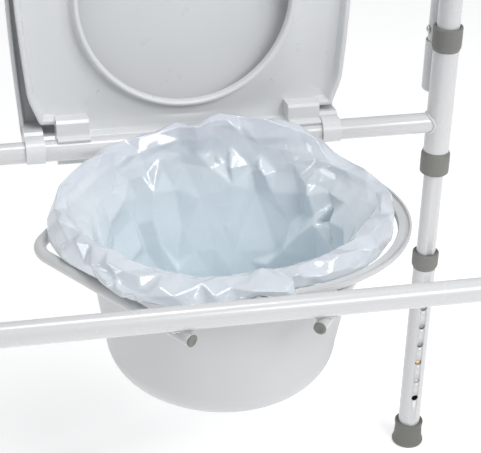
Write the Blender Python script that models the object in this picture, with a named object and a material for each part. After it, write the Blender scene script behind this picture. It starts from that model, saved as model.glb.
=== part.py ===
"""Commode chair: welded seat frame on four telescopic legs, lift-out pan with liner and bail, seat, lid, arms, back.

Metres, +Z up, -Y is the front. Every piece hangs on the empty "chair", which stands midway between the legs.
The seat and lid stand raised behind the pan, which is how the chair is emptied and cleaned. The origin is
on the floor under the middle of that raised shape, so the legs' middle is a little in front of it.
"""

import math

import bmesh
import bpy
from mathutils import Matrix, Vector

# ---- driving dimensions (metres) ----
LEG_X = 0.280                # leg centre lines, left and right
LEG_Y = 0.166                # leg centre lines, front and rear; the cross tubes lie on them
MIDDLE_Y = -0.0402           # the legs' middle, from the origin
FRAME_Z = 0.431              # axis height of both cross tubes
GAP = 0.0003                 # clearance between touching pieces
RING_GAP = 0.0005            # clearance between a ring's many-sided bore and the tube in it
CROSS_R = 0.0111             # cross tubes, outside radius
WALL = 0.0012                # tube wall
ARM_R = 0.0124               # arm tube, outside radius
POST_R = 0.0108              # inner leg post, outside radius
LEG_R = 0.0127               # telescopic leg, outside radius
SLEEVE_R = 0.0140            # frame sleeve, outside radius
SLEEVE_Z = (0.373, 0.541)    # frame sleeve, bottom and top
COLLAR_R = 0.0160            # sleeve collar, outside radius
COLLAR_H = 0.027             # sleeve collar, height
LIP = 0.0022                 # end lip of every collar
ARM_FOOT_Z = 0.425           # lower end of the arm tube, inside the sleeve
ARM_Z = 0.655                # arm tube axis
ARM_BEND = 0.070             # bend radius of the arm tube
PAD_HALF = 0.086             # half length of an armrest pad
POST_Z = (0.084, 0.500)      # leg post, bottom and top
LEG_Z = (0.0086, 0.266)      # telescopic leg tube, bottom and top
LEG_COLLAR_R = 0.0150
LEG_COLLAR_H = 0.021
HOLE_Z = 0.0712              # lowest height-setting hole
HOLE_PITCH = 0.0254          # one inch
HOLE_COUNT = 7
HOLE_R = 0.0039
BUTTON_HOLE = 2              # the hole that the spring button stands in
BUTTON_R = 0.0033
FOOT_H = 0.031
SOCKET_BACK = 0.0282         # backrest socket axis, behind the leg axis
SOCKET_R = 0.0127
SOCKET_Z = (0.456, 0.5155)
BACK_R = 0.0109              # backrest tube, outside radius
BACK_TOP_Z = 0.850
BACK_BEND = 0.080
RIVET_Z = 0.528              # stop rivet on each backrest leg
RAIL_R = 0.0060              # bucket rail rod
RAIL_END_X = 0.058           # rail ends, under the cross tubes
RAIL_OUT = 0.0104            # how far a rail end passes the cross tube's axis
RAIL_CORNER_X = 0.1765
RAIL_BEND = 0.030
PAN_X = 0.007                # the pan sits this far to the right of the middle
PAN_BOTTOM_Z = 0.264
PAN_RIM_Z = 0.4203           # underside of the rim, on the rails
PAN_R = 0.135                # outside radius at the rim's underside
PAN_TAPER = 0.17
PAN_ROUND = 0.040
PAN_WALL = 0.0022
RIM_R = 0.147
RIM_T = 0.0032
BAIL_Z = 0.431
BAIL_OUT = (0.1845, 0.150)   # outer half-axes of the bail, along X and Y
BAIL_IN = (0.1710, 0.140)
BAIL_FALL = 0.0437           # drop per metre out from the pins as it rests on the rim, 2.5 degrees
BAIL_TAIL = 0.0050           # how far its ends pass the pins
BAIL_T = 0.0070
PIN_R = 0.0028
PIN_START_Y = 0.1345         # inner end of each bail pin
PIN_HEAD_R = 0.0052
EAR_Y = (0.1362, 0.1392)     # ears for the pins, on the rim
EAR_R = 0.0065
FOLD_REACH = 0.160           # how far out the liner's folded top may lie
FOLD_CLEAR = 0.003           # from the fold to the bail
SEAT_X = 0.0065              # the seat's clips let it slide; it stands this far to the right
SEAT_ANGLE = 98.0            # degrees that seat and lid are raised from lying flat
CLIP_BORE = 0.01145
CLIP_R = 0.0146
SEAT_CLIP = (0.106, 0.140)   # seat clip, inner and outer face from the seat's middle
LID_CLIP = (0.1472, 0.1670)
SEAT_H = (0.0116, 0.0290)    # seat underside and top, above the hinge axis
LID_H = (0.0300, 0.0460)
SEAT_HALF = 0.177            # half width of seat and lid at the widest
SEAT_LENGTH = 0.384
SEAT_REAR = 0.0040           # rear edge of the seat, forward of the hinge axis
LID_LENGTH = 0.388
HOLE_CENTRE = 0.150          # seat opening's centre, forward of the hinge
OPENING = (0.111, 0.111, 0.126)  # half width, half length to the rear, half length to the front

SIDES = (("left", -1), ("right", 1))
ENDS = (("front", -1), ("rear", 1))

for old in list(bpy.data.objects):
    bpy.data.objects.remove(old, do_unlink=True)

CHAIR = bpy.data.objects.new("chair", None)
bpy.context.collection.objects.link(CHAIR)
CHAIR.location = (0, MIDDLE_Y, 0)


# ---- materials ----
def material(name, colour, roughness, metallic=0.0, alpha=1.0):
    made = bpy.data.materials.new(name)
    made.use_nodes = True
    shader = made.node_tree.nodes["Principled BSDF"]
    shader.inputs["Base Color"].default_value = (*colour, 1.0)
    shader.inputs["Roughness"].default_value = roughness
    shader.inputs["Metallic"].default_value = metallic
    shader.inputs["Alpha"].default_value = alpha
    return made


POWDER_COAT = material("powder_coat", (0.72, 0.72, 0.73), 0.30)
RAIL_COAT = material("rail_coat", (0.60, 0.61, 0.61), 0.35)
SEAT_PLASTIC = material("seat_plastic", (0.60, 0.62, 0.63), 0.38)
PAN_PLASTIC = material("pan_plastic", (0.56, 0.57, 0.58), 0.45)
GREY_PLASTIC = material("grey_plastic", (0.21, 0.21, 0.19), 0.50)
RUBBER = material("rubber", (0.19, 0.19, 0.17), 0.70)
BRASS = material("brass", (0.72, 0.55, 0.27), 0.25, metallic=1.0)
STEEL = material("steel", (0.60, 0.60, 0.60), 0.30, metallic=1.0)
LINER_FILM = material("liner_film", (0.62, 0.70, 0.76), 0.20, alpha=0.8)


# ---- building blocks ----
def place(obj, location, rotation, parent):
    """Link an object and set it in its parent's frame, or in the chair's."""
    bpy.context.collection.objects.link(obj)
    obj.location = location
    obj.rotation_euler = rotation
    obj.parent = parent or CHAIR


def finish(name, bm, mat, location=(0, 0, 0), rotation=(0, 0, 0), parent=None):
    """Turn a bmesh into a smooth-shaded object whose faces point out."""
    bmesh.ops.recalc_face_normals(bm, faces=bm.faces)
    mesh = bpy.data.meshes.new(name)
    bm.to_mesh(mesh)
    bm.free()
    mesh.materials.append(mat)
    mesh.shade_smooth()
    mesh.set_sharp_from_angle(angle=math.radians(35))
    obj = bpy.data.objects.new(name, mesh)
    place(obj, location, rotation, parent)
    return obj


def empty(name, location, rotation=(0, 0, 0), parent=None):
    made = bpy.data.objects.new(name, None)
    place(made, location, rotation, parent)
    return made


def boolean(obj, other, operation):
    """Cut or join another object, which is then only a helper."""
    other.hide_render = True
    other.display_type = "WIRE"
    modifier = obj.modifiers.new(operation.title(), "BOOLEAN")
    modifier.operation = operation
    modifier.object = other
    modifier.solver = "EXACT"


def loft(rings, ring_closed, cap_ends):
    """Skin a list of point rings. With cap_ends None the last ring joins the first."""
    bm = bmesh.new()
    rows = [[bm.verts.new(point) for point in ring] for ring in rings]
    pairs = list(zip(rows, rows[1:]))
    if cap_ends is None:
        pairs.append((rows[-1], rows[0]))
    for low, high in pairs:
        count = len(low)
        for i in range(count if ring_closed else count - 1):
            j = (i + 1) % count
            bm.faces.new((low[i], low[j], high[j], high[i]))
    if cap_ends:
        bm.faces.new(list(reversed(rows[0])))
        bm.faces.new(rows[-1])
    return bm


def circle(radius, segments):
    return [
        (radius * math.cos(2 * math.pi * i / segments), radius * math.sin(2 * math.pi * i / segments))
        for i in range(segments)
    ]


def turned(name, profile, mat, segments=16, **place):
    """Revolve a closed (radius, height) outline that stays off the axis, or one that starts and ends on it."""
    on_axis = profile[0][0] == 0
    inner = profile[1:-1] if on_axis else profile
    rings = [[(x, y, z) for x, y in circle(radius, segments)] for radius, z in inner]
    bm = loft(rings, True, None if not on_axis else True)
    return finish(name, bm, mat, **place)


def rounded_path(corners, radius, steps):
    """A polyline whose corners are arcs of one radius."""
    corners = [Vector(c) for c in corners]
    path = [corners[0]]
    for before, here, after in zip(corners, corners[1:], corners[2:]):
        u = (before - here).normalized()
        v = (after - here).normalized()
        half = u.angle(v) / 2
        reach = radius / math.tan(half)
        centre = here + (u + v).normalized() * (radius / math.sin(half))
        start = here + u * reach - centre
        axis = start.cross(here + v * reach - centre).normalized()
        for i in range(steps + 1):
            turn = Matrix.Rotation((math.pi - 2 * half) * i / steps, 3, axis)
            path.append(centre + turn @ start)
    path.append(corners[-1])
    return path


def path_rings(path, radius, segments):
    """Circles square to a path, carried along it without twist."""
    tangents = []
    for i, here in enumerate(path):
        before = path[max(i - 1, 0)]
        after = path[min(i + 1, len(path) - 1)]
        tangents.append((after - before).normalized())
    side = tangents[0].orthogonal().normalized()
    rings = []
    for here, tangent in zip(path, tangents):
        side = (side - tangent * side.dot(tangent)).normalized()
        up = tangent.cross(side)
        rings.append([here + side * x + up * y for x, y in circle(radius, segments)])
    return rings


def tube(name, path, radius, mat, wall=WALL, segments=16, **place):
    """A hollow tube along a path, or a solid rod when wall is 0."""
    path = [Vector(p) for p in path]
    outer = path_rings(path, radius, segments)
    if not wall:
        return finish(name, loft(outer, True, True), mat, **place)
    inner = path_rings(path, radius - wall, segments)
    return finish(name, loft(outer + inner[::-1], True, None), mat, **place)


def extruded(name, outline, depth_axis, low, high, mat, **place):
    """Extrude a closed 2-D outline along X or Y. The outline's pair is the other two axes, in order."""
    def point(pair, depth):
        return (depth, *pair) if depth_axis == "X" else (pair[0], depth, pair[1])

    rings = [[point(pair, depth) for pair in outline] for depth in (low, high)]
    return finish(name, loft(rings, True, True), mat, **place)


def rod_between(name, start, end, radius, mat, segments=12, **place):
    return tube(name, [start, end], radius, mat, wall=0, segments=segments, **place)


# ---- welded seat frame ----
def cross_tube(end, sign):
    """A tube from sleeve to sleeve, its ends coped to fit round them."""
    y = sign * LEG_Y
    bar = tube(f"{end}_cross_tube", [(-LEG_X, y, FRAME_Z), (LEG_X, y, FRAME_Z)], CROSS_R, POWDER_COAT,
               segments=20)
    for side, s in SIDES:
        cutter = rod_between(f"cope_{end}_{side}", (s * LEG_X, y, FRAME_Z - 0.03), (s * LEG_X, y, FRAME_Z + 0.03),
                             SLEEVE_R + GAP, POWDER_COAT, segments=32)
        outside = rod_between(f"trim_{end}_{side}", (s * LEG_X, y, FRAME_Z), (s * (LEG_X + 0.03), y, FRAME_Z),
                              0.03, POWDER_COAT)
        boolean(bar, cutter, "DIFFERENCE")
        boolean(bar, outside, "DIFFERENCE")


def collar_profile(bore, lip_bore, outer, height):
    """A ring with an inward lip at its far end, chamfered at its open end."""
    bevel = 0.0020
    return [
        (bore, 0), (outer - bevel, 0), (outer, bevel * 3), (outer, height), (lip_bore, height),
        (lip_bore, height - LIP), (bore, height - LIP),
    ]


def sleeve_set(end, y_sign, side, x_sign):
    x, y = x_sign * LEG_X, y_sign * LEG_Y
    low, high = SLEEVE_Z
    tube(f"{end}_sleeve_{side}", [(x, y, low), (x, y, high)], SLEEVE_R, POWDER_COAT, segments=20)
    profile = collar_profile(SLEEVE_R + RING_GAP, ARM_R + RING_GAP, COLLAR_R, COLLAR_H)
    turned(f"{end}_upper_collar_{side}", profile, GREY_PLASTIC,
           location=(x, y, high + LIP + GAP - COLLAR_H))
    turned(f"{end}_lower_collar_{side}", profile, GREY_PLASTIC,
           location=(x, y, low - LIP - GAP + COLLAR_H), rotation=(math.pi, 0, 0))


def bucket_rail(side, sign):
    """A rod bent to a V, its ends under both cross tubes, with a plug in each end."""
    z = FRAME_Z - CROSS_R - GAP - RAIL_R
    end_y = LEG_Y + RAIL_OUT
    corners = [(sign * RAIL_END_X, -end_y, z), (sign * RAIL_CORNER_X, 0, z), (sign * RAIL_END_X, end_y, z)]
    tube(f"bucket_rail_{side}", rounded_path(corners, RAIL_BEND, 7), RAIL_R, RAIL_COAT, wall=0, segments=12)
    for end, index in (("front", 0), ("rear", -1)):
        tip = Vector(corners[index])
        out = (tip - Vector(corners[1])).normalized()
        thick = 0.0022
        turned(f"rail_plug_{end}_{side}",
               [(0, 0), (0.0050, 0), (0.0058, 0.0006), (0.0058, thick - 0.0008), (0.0046, thick), (0, thick)],
               GREY_PLASTIC, segments=12, location=tip + out * GAP,
               rotation=out.to_track_quat("Z", "Y").to_euler())


def backrest_socket(side, sign):
    """A closed-bottomed tube welded behind the rear sleeve by a narrow web."""
    x, y = sign * LEG_X, LEG_Y + SOCKET_BACK
    low, high = SOCKET_Z
    bore = BACK_R + 0.0005
    floor = low + 0.0020
    profile = [(0, low), (SOCKET_R, low), (SOCKET_R, high), (bore, high), (bore, floor), (0, floor)]
    socket = turned(f"backrest_socket_{side}", profile, POWDER_COAT, segments=20, location=(x, y, 0))
    near = LEG_Y + SLEEVE_R + GAP
    far = y - SOCKET_R + 0.0006
    web = extruded(f"socket_web_{side}", [(x - 0.003, low + 0.003), (x + 0.003, low + 0.003),
                                          (x + 0.003, high - 0.003), (x - 0.003, high - 0.003)],
                   "Y", near, far, POWDER_COAT)
    boolean(socket, web, "UNION")


# ---- legs, arms and back ----
def leg(end, y_sign, side, x_sign):
    x, y = x_sign * LEG_X, y_sign * LEG_Y
    button_z = HOLE_Z + BUTTON_HOLE * HOLE_PITCH
    post = tube(f"{end}_leg_post_{side}", [(x, y, POST_Z[0]), (x, y, POST_Z[1])], POST_R, POWDER_COAT)
    hole = rod_between(f"post_hole_{end}_{side}", (x, y, button_z), (x, y - 0.02, button_z), BUTTON_R + 0.0004,
                       POWDER_COAT)
    boolean(post, hole, "DIFFERENCE")

    slide = empty(f"{end}_leg_slide_{side}", (x, y, 0))
    low, high = LEG_Z
    lower = tube(f"{end}_leg_extension_{side}", [(0, 0, low), (0, 0, high)], LEG_R, POWDER_COAT, parent=slide)
    for k in range(HOLE_COUNT):
        z = HOLE_Z + k * HOLE_PITCH
        hole = rod_between(f"leg_hole_{k}_{end}_{side}", (0, 0, z), (0, -0.02, z), HOLE_R, POWDER_COAT,
                           parent=slide)
        boolean(lower, hole, "DIFFERENCE")
    turned(f"{end}_leg_collar_{side}",
           collar_profile(LEG_R + RING_GAP, POST_R + RING_GAP, LEG_COLLAR_R, LEG_COLLAR_H), GREY_PLASTIC,
           location=(0, 0, high + LIP + GAP - LEG_COLLAR_H), parent=slide)
    bore, floor = LEG_R + RING_GAP, low - GAP
    turned(f"{end}_foot_tip_{side}",
           [(0, 0), (0.0170, 0), (0.0185, 0.0030), (0.0172, 0.0110), (0.0160, 0.0200), (0.0158, FOOT_H),
            (bore, FOOT_H), (bore, floor), (0, floor)],
           RUBBER, parent=slide)

    flange_top = 0.0082
    reach = POST_R + 0.00035
    shank = [(0, -0.0050), (BUTTON_R, -0.0050), (BUTTON_R, -0.0068), (0.0045, -0.0068), (0.0045, -flange_top),
             (BUTTON_R, -flange_top), (BUTTON_R, -reach + 0.0012), (0.0025, -reach + 0.0004), (0.0012, -reach),
             (0, -reach)]
    profile = [(radius, -depth) for radius, depth in shank]
    turned(f"{end}_leg_button_{side}", profile, BRASS, segments=12, location=(x, y, button_z),
           rotation=(math.pi / 2, 0, 0))


def arm(side, sign):
    """One bent tube: rear upright, arm, front upright. A moulded pad is clipped on its level run."""
    x = sign * LEG_X
    corners = [(x, LEG_Y, ARM_FOOT_Z), (x, LEG_Y, ARM_Z), (x, -LEG_Y, ARM_Z), (x, -LEG_Y, ARM_FOOT_Z)]
    tube(f"arm_tube_{side}", rounded_path(corners, ARM_BEND, 5), ARM_R, POWDER_COAT)

    seat_r = ARM_R + GAP
    thin = 0.003
    groove = [(seat_r * math.cos(math.radians(a)), seat_r * math.sin(math.radians(a))) for a in range(180, -1, -15)]
    dome = [(0.0235, -0.001), (0.0245, 0.008), (0.0215, 0.0175), (0.0120, 0.0225), (0, 0.0240)]
    dome += [(-px, pz) for px, pz in dome[-2::-1]]
    rings = []
    for depth, grow in ((-1, 0.80), (-0.95, 0.93), (-0.86, 1.0), (0.86, 1.0), (0.95, 0.93), (1, 0.80)):
        ring = []
        for px, pz in dome:
            length = max(math.hypot(px, pz) * (grow if pz > 0 else 1), seat_r + thin)
            turn = math.atan2(pz, px)
            ring.append((x + length * math.cos(turn), depth * PAD_HALF, ARM_Z + length * math.sin(turn)))
        rings.append(ring + [(x + px, depth * PAD_HALF, ARM_Z + pz) for px, pz in groove])
    finish(f"armrest_pad_{side}", loft(rings, True, True), GREY_PLASTIC)


def backrest():
    """A U of tube whose legs drop into the sockets, each with a stop rivet just above them."""
    y = LEG_Y + SOCKET_BACK
    lift = empty("backrest_lift", (0, y, SOCKET_Z[0]))
    foot = 0.0020 + GAP
    top = BACK_TOP_Z - SOCKET_Z[0]
    corners = [(-LEG_X, 0, foot), (-LEG_X, 0, top), (LEG_X, 0, top), (LEG_X, 0, foot)]
    tube("backrest_tube", rounded_path(corners, BACK_BEND, 5), BACK_R, POWDER_COAT, parent=lift)
    for side, sign in SIDES:
        turned(f"backrest_rivet_{side}",
               [(0, 0), (0.0042, 0), (0.0042, 0.0008), (0.0028, 0.0010), (0.0022, 0.0022), (0, 0.0026)], STEEL,
               segments=12, location=(sign * (LEG_X - BACK_R - GAP), 0, RIVET_Z - SOCKET_Z[0]),
               rotation=(0, -sign * math.pi / 2, 0), parent=lift)


# ---- pan, bail and liner ----
def pan_radius(z):
    return PAN_R - PAN_TAPER * (PAN_RIM_Z - z)


def pan_profile(inset, low, steps=4):
    """Outside of the pan from its middle up to the rim, moved inwards by inset."""
    start_z = PAN_BOTTOM_Z + PAN_ROUND
    corner_r = PAN_ROUND - inset
    centre_r = pan_radius(start_z) - PAN_ROUND
    points = [(0, low)]
    for i in range(steps + 1):
        a = math.radians(90 * i / steps)
        points.append((centre_r + corner_r * math.sin(a), start_z - (start_z - low) * math.cos(a)))
    return points


def pan(lift):
    """The pan with its flat rim and two ears for the bail."""
    top = PAN_RIM_Z + RIM_T
    outside = pan_profile(0, PAN_BOTTOM_Z)
    inside = pan_profile(PAN_WALL, PAN_BOTTOM_Z + PAN_WALL)
    profile = outside + [(PAN_R, PAN_RIM_Z), (RIM_R - 0.001, PAN_RIM_Z), (RIM_R, PAN_RIM_Z + 0.001),
                         (RIM_R, top - 0.001), (RIM_R - 0.001, top), (PAN_R - PAN_WALL, top)] + inside[::-1]
    body = turned("pan", [(r, z - BAIL_Z) for r, z in profile], PAN_PLASTIC, segments=40, parent=lift)
    for end, sign in ENDS:
        ear = ear_block(f"pan_ear_{end}", sign)
        ear.parent = lift
        boolean(body, ear, "UNION")
        hole = rod_between(f"ear_hole_{end}", (0, sign * (EAR_Y[0] - 0.006), 0), (0, sign * (EAR_Y[1] + 0.003), 0),
                           PIN_R + GAP, PAN_PLASTIC, parent=lift)
        boolean(body, hole, "DIFFERENCE")


def ear_block(name, sign):
    """A half-round ear on the rim, in the plane square to the bail's pin."""
    low = PAN_RIM_Z + RIM_T - 0.001 - BAIL_Z
    outline = [(-0.009, low), (0.009, low)]
    outline += [(EAR_R * math.cos(math.radians(a)), EAR_R * math.sin(math.radians(a))) for a in range(0, 181, 30)]
    near, far = sorted(sign * y for y in EAR_Y)
    return extruded(name, outline, "Y", near, far, PAN_PLASTIC)


def bail(lift):
    """A half-ellipse band whose ends turn on two pins in the pan's ears."""
    swing = empty("bail_swing", (0, 0, 0), parent=lift)
    half = BAIL_T / 2
    steps = 30
    rings = []
    for i in range(steps + 1):
        a = math.radians(-90 + 180 * i / steps)
        inner_x, outer_x = BAIL_IN[0] * math.cos(a), BAIL_OUT[0] * math.cos(a)
        inner = Vector((inner_x, BAIL_IN[1] * math.sin(a), -inner_x * BAIL_FALL))
        outer = Vector((outer_x, BAIL_OUT[1] * math.sin(a), -outer_x * BAIL_FALL))
        edge = (outer - inner) * 0.14
        rings.append([
            inner + Vector((0, 0, -half)), outer + Vector((0, 0, -half)) - edge,
            outer + Vector((0, 0, -half * 0.4)), outer + Vector((0, 0, half)),
            outer + Vector((0, 0, half)) - edge, inner + Vector((0, 0, half)),
        ])
    ends = [[point + Vector((-BAIL_TAIL, 0, 0)) for point in rings[index]] for index in (0, -1)]
    band = finish("bail_handle", loft([ends[0], *rings, ends[1]], True, True), PAN_PLASTIC, parent=swing)
    for end, sign in ENDS:
        hole = rod_between(f"bail_hole_{end}", (0, sign * (BAIL_IN[1] - 0.002), 0),
                           (0, sign * (BAIL_OUT[1] + 0.002), 0), PIN_R + GAP, PAN_PLASTIC, parent=swing)
        boolean(band, hole, "DIFFERENCE")
        under_head = BAIL_OUT[1] + GAP - PIN_START_Y
        top = under_head + 0.0015
        turned(f"bail_pin_{end}",
               [(0, 0), (PIN_R, 0), (PIN_R, under_head), (PIN_HEAD_R, under_head), (PIN_HEAD_R, top), (0, top)],
               PAN_PLASTIC, segments=12, location=(0, sign * PIN_START_Y, 0),
               rotation=(-sign * math.pi / 2, 0, 0), parent=lift)


def liner_reach(angle):
    """How far out the liner's folded top reaches, clear of the tubes, the bail and its pins."""
    c, s = math.cos(angle), math.sin(angle)
    reach = min(FOLD_REACH, (LEG_Y - CROSS_R - 0.0044) / max(abs(s), 1e-6))
    if c > -0.10:
        reach = min(reach, 1 / math.hypot(c / (BAIL_IN[0] - FOLD_CLEAR), s / (BAIL_IN[1] - FOLD_CLEAR)))
    if abs(c) < 0.17:
        reach = min(reach, PIN_START_Y - 0.0010)
    return reach


def liner(lift):
    """The bag as one simple skin: it lines the pan and its top is folded out over the rim."""
    thick, clear = 0.0010, PAN_WALL + 0.0005
    top = PAN_RIM_Z + RIM_T
    low = pan_profile(clear, PAN_BOTTOM_Z + clear)[1:]
    high = pan_profile(clear + thick, PAN_BOTTOM_Z + clear + thick)[1:]
    segments = 40
    rings = []
    for r, z in low:
        rings.append([(r * c, r * s, z) for c, s in circle(1, segments)])
    wall = PAN_R - clear - 0.0010
    fold = [(0, 0.0008), (1, 0.0008), (1, 0.0070), (0.7, 0.0120), (0.3, 0.0140), (-0.001, 0.0120)]
    rings.append([(wall * c, wall * s, top - 0.004) for c, s in circle(1, segments)])
    for out, up in fold:
        ring = []
        for c, s in circle(1, segments):
            reach = liner_reach(math.atan2(s, c))
            r = wall + out * (reach - wall) if out >= 0 else wall - thick
            ring.append((r * c, r * s, top + up))
        rings.append(ring)
    for r, z in reversed(high):
        rings.append([(r * c, r * s, z) for c, s in circle(1, segments)])
    rings = [[(px, py, pz - BAIL_Z) for px, py, pz in ring] for ring in rings]
    finish("liner_bag", loft(rings, True, True), LINER_FILM, parent=lift)


# ---- seat and lid, drawn lying flat with the hinge axis as their origin ----
def smooth_corner(points, radius, steps=4):
    """Round every corner of an open outline that is sharp enough to need it."""
    path = rounded_path([(x, y, 0) for x, y in points], radius, steps)
    return [(p.x, p.y) for p in path]


def side_curve(rear, length, half, start_half, shoulder, count):
    """Right-hand side of an outline, from near the hinge round to the front's middle."""
    points = []
    for i in range(4):
        t = i / 3
        points.append((start_half + (half - start_half) * math.sin(t * math.pi / 2), rear + (shoulder - rear) * t))
    power = 2.5
    for i in range(1, count + 1):
        a = math.pi / 2 * i / count
        x = half * math.cos(a) ** (2 / power)
        y = shoulder + (length - shoulder) * math.sin(a) ** (2 / power)
        points.append((x, y))
    return points


def mirrored(half_outline):
    """Close a right-hand outline, from the hinge side to the front's middle, with its mirror image."""
    left = [(-x, y) for x, y in half_outline[::-1] if x > 1e-9]
    return half_outline + left


def seat_outline():
    clip_out = SEAT_CLIP[1]
    corner = [(0.040, SEAT_REAR), (0.090, SEAT_REAR), (clip_out, SEAT_REAR)]
    notch = smooth_corner([(clip_out, 0.0125), (clip_out, 0.0240), (0.1560, 0.0240), (0.1655, 0.0480)],
                          0.0040, 2)
    return mirrored(corner + notch + side_curve(0.0560, SEAT_LENGTH, SEAT_HALF, 0.1675, 0.200, 10))


def lid_outline():
    return mirrored([(0.060, 0.0050), (0.120, 0.0050), (0.1640, 0.0050), (0.1680, 0.0090)]
                    + side_curve(0.0200, LID_LENGTH, SEAT_HALF + 0.0005, 0.1690, 0.200, 10))


def flat(points, height):
    """Outline pairs (across, forward of the hinge) as points of the closed seat: forward is -Y."""
    return [(x, -forward, height) for x, forward in points]


def towards(points, centre, distance):
    """Move each point of an outline a distance towards a centre."""
    moved = []
    for x, y in points:
        length = math.hypot(x - centre[0], y - centre[1])
        k = distance / length
        moved.append((x + (centre[0] - x) * k, y + (centre[1] - y) * k))
    return moved


def opening_at(x, y):
    """The point of the seat opening's edge that lies in the direction of an outline point."""
    dx, dy = x, y - HOLE_CENTRE
    length = OPENING[2] if dy > 0 else OPENING[1]
    k = 1 / math.hypot(dx / OPENING[0], dy / length)
    return dx * k, HOLE_CENTRE + dy * k


def arc(radius, start, stop, count):
    """Points (across to the rear, up) of a circle round the hinge axis, by angle from straight forward."""
    angles = [math.radians(start + (stop - start) * i / count) for i in range(count + 1)]
    return [(-radius * math.cos(a), radius * math.sin(a)) for a in angles]


def clip(name, side, limits, span, block, parent):
    """A C-shaped clip round the hinge tube, grown into the block that joins it to its panel."""
    low, high = sorted((side * limits[0], side * limits[1]))
    (near, far), (base, rise) = block
    meets_base = math.degrees(math.asin(base / CLIP_R))
    meets_back = math.degrees(math.acos(near / CLIP_R))
    stop = math.radians(span[1])
    lip = (-CLIP_R * math.cos(stop) + 0.0050, CLIP_R * math.sin(stop) + 0.0016)
    outline = arc(CLIP_R, span[0], meets_base, 6)
    outline += [(0.003 - far, base), (-far, base + 0.003), (-far, rise), (-near, rise)]
    outline += arc(CLIP_R, meets_back, span[1], 8)
    outline += [lip, (lip[0] + 0.0004, lip[1] - 0.0030)]
    outline += arc(CLIP_BORE, span[1], span[0], 18)
    return extruded(name, outline, "X", low, high, SEAT_PLASTIC, parent=parent)


def seat(hinge):
    """A skirted ring with a rolled edge round its opening, and two clips for the rear tube."""
    outline = seat_outline()
    edge = [opening_at(x, y) for x, y in outline]
    centre = (0, HOLE_CENTRE)
    low, high = SEAT_H
    skirt, ceiling = 0.0045, high - 0.0045
    rolled = 0.0060
    sections = [
        (outline, low), (outline, high - 0.0045), (towards(outline, centre, 0.0045), high),
        (towards(edge, centre, -0.0080), high), (edge, high - 0.0050), (edge, low + 0.0015),
        (towards(edge, centre, -rolled), low + 0.0015), (towards(edge, centre, -rolled), ceiling),
        (towards(outline, centre, skirt), ceiling), (towards(outline, centre, skirt), low),
    ]
    body = finish("seat", loft([flat(points, h) for points, h in sections], True, None), SEAT_PLASTIC,
                  location=(SEAT_X, 0, 0), parent=hinge)
    for side, sign in SIDES:
        piece = clip(f"seat_clip_{side}", sign, SEAT_CLIP, (-35, 150), ((0.004, 0.030), (0.002, 0.0262)), body)
        boolean(body, piece, "UNION")
    for side, sign in SIDES:
        turned(f"seat_bumper_{side}",
               [(0, 0.0114), (0.0050, 0.0114), (0.0060, 0.0124), (0.0060, ceiling - GAP), (0, ceiling - GAP)],
               RUBBER, segments=12, location=(SEAT_X + sign * 0.120, -2 * LEG_Y, 0), parent=hinge)


def lid(hinge):
    """A shallow skirted cover, and two narrow clips outside the seat's."""
    outline = lid_outline()
    centre = (0, 0.19)
    low, high = LID_H
    wall, ceiling = 0.0040, high - 0.0035
    sections = [
        (towards(outline, centre, wall), ceiling), (towards(outline, centre, wall), low), (outline, low),
        (outline, high - 0.0045), (towards(outline, centre, 0.0045), high),
    ]
    body = finish("lid", loft([flat(points, h) for points, h in sections], True, True), SEAT_PLASTIC, parent=hinge)
    for side, sign in SIDES:
        piece = clip(f"lid_clip_{side}", sign, LID_CLIP, (-130, 130), ((0.0, 0.019), (0.004, 0.0432)), body)
        boolean(body, piece, "UNION")
    for side, sign in SIDES:
        turned(f"lid_bumper_{side}",
               [(0, SEAT_H[1] + GAP), (0.0040, SEAT_H[1] + GAP), (0.0050, SEAT_H[1] + 0.001), (0.0050, ceiling - GAP),
                (0, ceiling - GAP)],
               RUBBER, segments=12, location=(sign * 0.146, -0.200, 0), parent=hinge)


# ---- assembly ----
for end_name, end_sign in ENDS:
    cross_tube(end_name, end_sign)
    for side_name, side_sign in SIDES:
        sleeve_set(end_name, end_sign, side_name, side_sign)
        leg(end_name, end_sign, side_name, side_sign)
for side_name, side_sign in SIDES:
    bucket_rail(side_name, side_sign)
    backrest_socket(side_name, side_sign)
    arm(side_name, side_sign)
backrest()

pan_lift = empty("bucket_lift", (PAN_X, 0, BAIL_Z))
pan(pan_lift)
bail(pan_lift)
liner(pan_lift)

seat_hinge = empty("seat_hinge", (0, LEG_Y, FRAME_Z), (-math.radians(SEAT_ANGLE), 0, 0))
seat(seat_hinge)
lid(seat_hinge)
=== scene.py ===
"""Looks of the commode chair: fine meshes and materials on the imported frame, and a film liner.

Everything is built in the chair's own frame, whose origin is on the floor midway between the legs
(-Y front, +X right, +Z up), and moved by MIDDLE_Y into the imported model's frame.
"""

import math
import random

import bmesh
import bpy
import numpy as np
from mathutils import Matrix, Vector
from mathutils.geometry import delaunay_2d_cdt


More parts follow.
